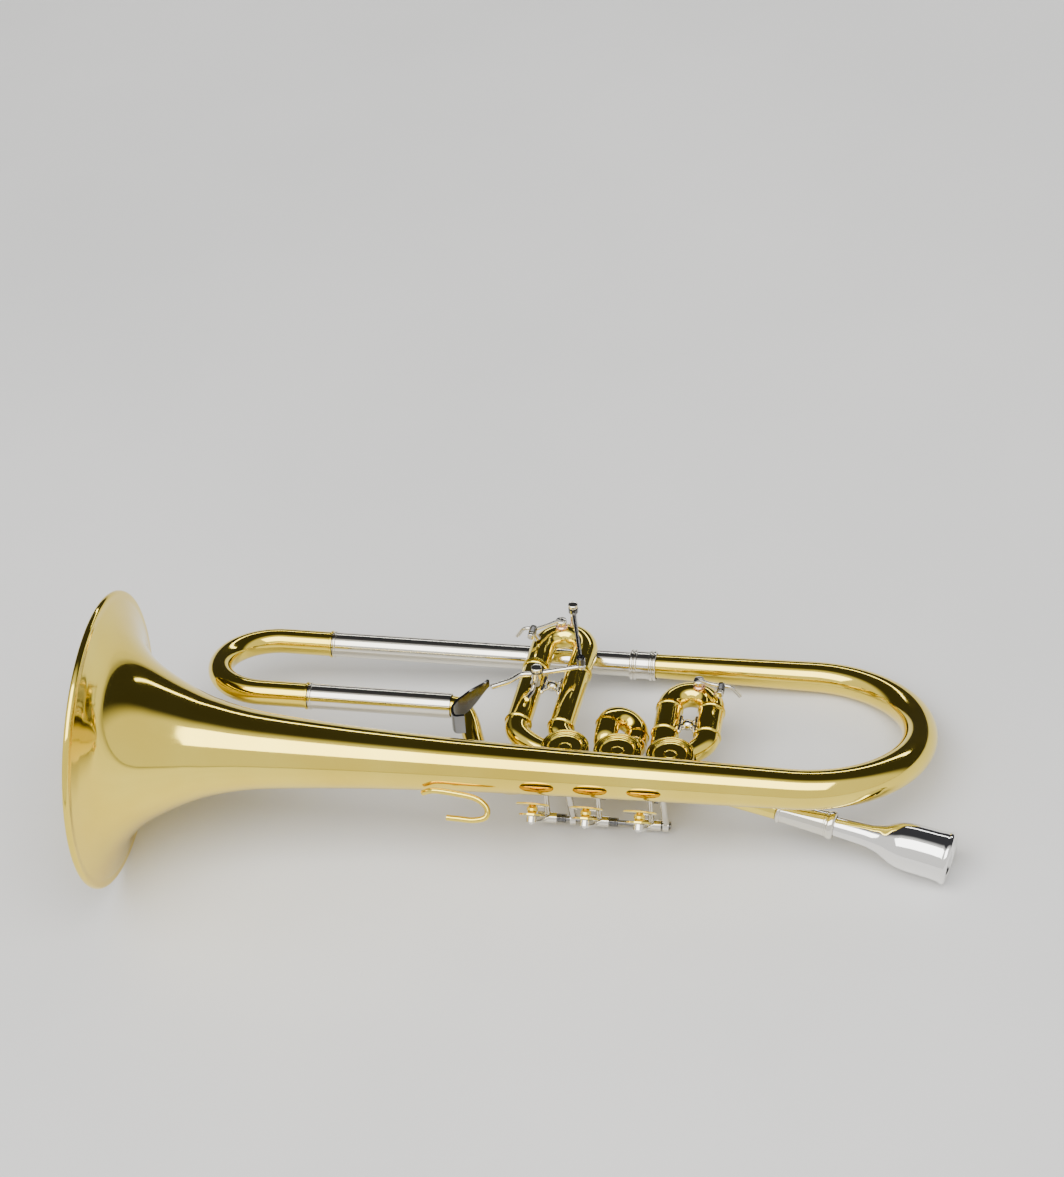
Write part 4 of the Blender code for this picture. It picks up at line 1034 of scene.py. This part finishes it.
def make_water_key(horn, number, sign, y):
    """A spout on the crook, a hinge post beside it, and a sprung lever with a cork seat."""
    out = slide_direction(number)
    side = Vector((out.y, -out.x, 0)) * sign
    leg = leg_point(number, sign, y)
    top = leg + Vector((0, 0, SLEEVE_OD / 2 + GAP))
    post = turn(top + side * 2.0 + Vector((0, 0, -0.1)), side * 0.5 + Vector((0, 0, 1)),
                [(0.6, 2.0), (3.4, 1.4), (6.2, 1.4)], SMALL_SIDES)
    pivot = top + side * 4.6 + Vector((0, 0, 5.4))
    pin = turn(pivot - out * 3.6, out, [(0, 0.9), (7.2, 0.9)], SMALL_SIDES)
    screw = knurled_head(pivot - out * 2.8, -out, 2.2, 1.9)
    horn.add(f"water_key_post_{number}", join(post, [pin, screw]), "nickel")
    spout_at = spout_foot(number, sign)
    spout = [(-0.8, 3.3), (0.2, 3.3), (0.9, 3.0), (1.4, 2.3), (3.3, 2.0), (3.3, 1.1), (-0.8, 1.1)]
    horn.add(f"water_spout_{number}", turn_hollow(spout_at, (0, 0, 1), soften(spout, 0.4)), "rose",
             body=f"slide_{number}")
    cup = [(3.5, 2.6), (3.5, 3.0), (4.9, 2.8), (5.5, 1.4), (5.9, 0.2)]
    horn.add(f"water_key_cup_{number}", turn(spout_at, (0, 0, 1), soften(cup, 0.4)), "nickel",
             body=f"water_key_{number}")
    pad = [(3.35, 0.2), (3.35, 2.3), (3.6, 2.55), (4.4, 2.5), (4.4, 0.2)]
    horn.add(f"water_key_cork_{number}", turn(spout_at, (0, 0, 1), soften(pad, 0.2)), "cork",
             body=f"water_key_{number}")
    spring = coil(pivot - out * 2.2, out, 1.75, 3.6, 5, 0.28)
    horn.add(f"water_key_spring_{number}", spring, "steel", body=f"slide_{number}")
    ring = [(0, 2.1), (0.9, 2.1), (0.9, 1.15), (0, 1.15)]
    bush = turn_hollow(pivot + out * 1.7, out, ring, SMALL_SIDES)
    hinge = pivot + out * 2.2
    tail = hinge + side * 9.5 - Vector((0, 0, 7.0)) + out * 0.2
    lever = sweep(curve_through([hinge + side * 1.6, hinge + side * 5.6 - Vector((0, 0, 1.4)), tail], 3), 1.0,
                  sides=SMALL_SIDES)
    seat = spout_at + Vector((0, 0, 5.0))
    seat_arm = sweep(curve_through([hinge - side * 1.5, mix(hinge, seat, 0.5) - out * 0.8, seat], 3), 0.9,
                     sides=SMALL_SIDES)
    horn.add(f"water_key_{number}", join(bush, [lever, seat_arm]), "nickel")


def make_finger_hook(horn):
    """The little finger's hook: a flat U beside the bell tube, open toward the rim."""
    route = [(168, -15.5, -6.0), (174, -16.8, -2.6), (184, -16.8, -3.4), (195, -17.2, -5.4),
             (201, -19.5, -9.0), (201, -22.8, -12.6), (195, -24.0, -14.2), (187, -23.6, -14.4),
             (181, -23.2, -14.6)]
    horn.add("finger_hook", sweep(curve_through(route, 2), 1.5, sides=SMALL_SIDES), "brass")


# ---------------------------------------------------------------- floor, lights and camera

FLOOR_SIZE = 30.0               # metres, as are the lights' places and sizes
HORN_MIDDLE = (0, 0, 0.05)
SKY_STRENGTH = 1.05
SKY_FADE = (0.50, 0.66)         # where the sky starts to fall off and is dark, from front (0) to back (1)


def make_floor():
    bpy.ops.mesh.primitive_plane_add(size=FLOOR_SIZE, location=(0, 0, 0))
    floor = bpy.context.object
    floor.name = "floor"
    floor.data.materials.append(pale_floor())


def make_light(name, place, size, power):
    """A soft rectangular panel that faces the horn."""
    lamp = bpy.data.lights.new(name, "AREA")
    lamp.shape = "RECTANGLE"
    lamp.size, lamp.size_y = size
    lamp.energy = power
    light = bpy.data.objects.new(name, lamp)
    bpy.context.collection.objects.link(light)
    light.location = place
    light.rotation_euler = (Vector(HORN_MIDDLE) - Vector(place)).to_track_quat("-Z", "Y").to_euler()


def make_world():
    """A soft white sky in front and overhead that falls off to dark behind the horn."""
    world = bpy.data.worlds.new("studio")
    world.use_nodes = True
    nodes, links = world.node_tree.nodes, world.node_tree.links
    place = nodes.new("ShaderNodeTexCoord")
    split = nodes.new("ShaderNodeSeparateXYZ")
    links.new(place.outputs["Generated"], split.inputs["Vector"])
    fade = nodes.new("ShaderNodeValToRGB")
    fade.color_ramp.interpolation = "EASE"
    fade.color_ramp.elements[0].position = SKY_FADE[0]
    fade.color_ramp.elements[0].color = (1.0, 0.99, 0.97, 1)
    fade.color_ramp.elements[1].position = SKY_FADE[1]
    fade.color_ramp.elements[1].color = (0.045, 0.045, 0.05, 1)
    lift = nodes.new("ShaderNodeMath")
    lift.operation = "MULTIPLY_ADD"
    links.new(split.outputs["Y"], lift.inputs[0])
    lift.inputs[1].default_value = 0.5
    lift.inputs[2].default_value = 0.5
    links.new(lift.outputs["Value"], fade.inputs["Fac"])
    background = nodes["Background"]
    links.new(fade.outputs["Color"], background.inputs["Color"])
    background.inputs["Strength"].default_value = SKY_STRENGTH
    bpy.context.scene.world = world


def make_lights():
    make_light("softbox_over", (0.0, -0.75, 1.8), (2.4, 1.4), 58)
    make_light("strip_back", (0.2, 1.5, 0.7), (1.6, 0.12), 3.5)
    make_world()


CAMERA_PLACE = Vector((485, -1165, 1167))       # in horn millimetres
CAMERA_RIGHT = Vector((0.985, 0.163, -0.060))
CAMERA_FORWARD = Vector((-0.1615, 0.735, -0.659))
CAMERA_LENS = 101.5


def make_camera(place):
    camera_data = bpy.data.cameras.new("camera")
    camera_data.sensor_fit = "VERTICAL"
    camera_data.sensor_height = 36
    camera_data.lens = CAMERA_LENS
    camera_data.clip_start = 0.05
    camera = bpy.data.objects.new("camera", camera_data)
    bpy.context.collection.objects.link(camera)
    turn_only = place.to_3x3().normalized()
    back = -(turn_only @ CAMERA_FORWARD).normalized()
    right = turn_only @ CAMERA_RIGHT
    right = (right - back * right.dot(back)).normalized()
    up = back.cross(right)
    axes = Matrix((right, up, back)).transposed().to_4x4()
    camera.matrix_world = Matrix.Translation(place @ CAMERA_PLACE) @ axes
    bpy.context.scene.camera = camera


def build():
    horn = Horn()
    make_camera(horn.place)
    make_bell(horn)
    make_bow(horn)
    make_tail_ferrule(horn)
    make_tuning_sleeve(horn, "rear_slide_sleeve", return_line(), REAR_SLEEVE_X)
    make_tuning_sleeve(horn, "front_slide_sleeve", FRONT_LEG, FRONT_SLEEVE_X)
    make_tuning_slide(horn)
    for number in VALVE_X:
        make_casing(horn, number)
        make_rotor(horn, number)
        make_cap(horn, number)
        make_stop_arm(horn, number)
        make_key_lever(horn, number)
        make_touchpiece(horn, number)
        make_key_link(horn, number)
        make_key_spring(horn, number)
    make_valve_link(horn, 2)
    make_valve_link(horn, 3)
    make_exit_tube(horn)
    for number in (1, 3):
        make_slide_sleeves(horn, number)
        make_slide_crook(horn, number)
    make_slide_2(horn)
    for number, y in BRACE_Y.items():
        make_slide_brace(horn, number, y)
    make_leadpipe(horn)
    make_receiver(horn)
    make_mouthpiece(horn)
    make_key_axle(horn)
    make_axle_post(horn, "axle_post_a", key_x(3) + 13.5, Vector((key_x(3) + 13.5, 4.0, -14.4)))
    make_axle_post(horn, "axle_post_b", key_x(1) + 7.5, Vector((key_x(1) + 7.5, 4.0, -13.6)))
    make_trigger_post(horn)
    make_trigger_lever(horn)
    make_trigger_saddle(horn)
    make_trigger_link(horn)
    make_crook_post(horn)
    for number, (sign, y) in WATER_KEYS.items():
        make_water_key(horn, number, sign, y)
    make_finger_hook(horn)
    make_floor()
    make_lights()


build()
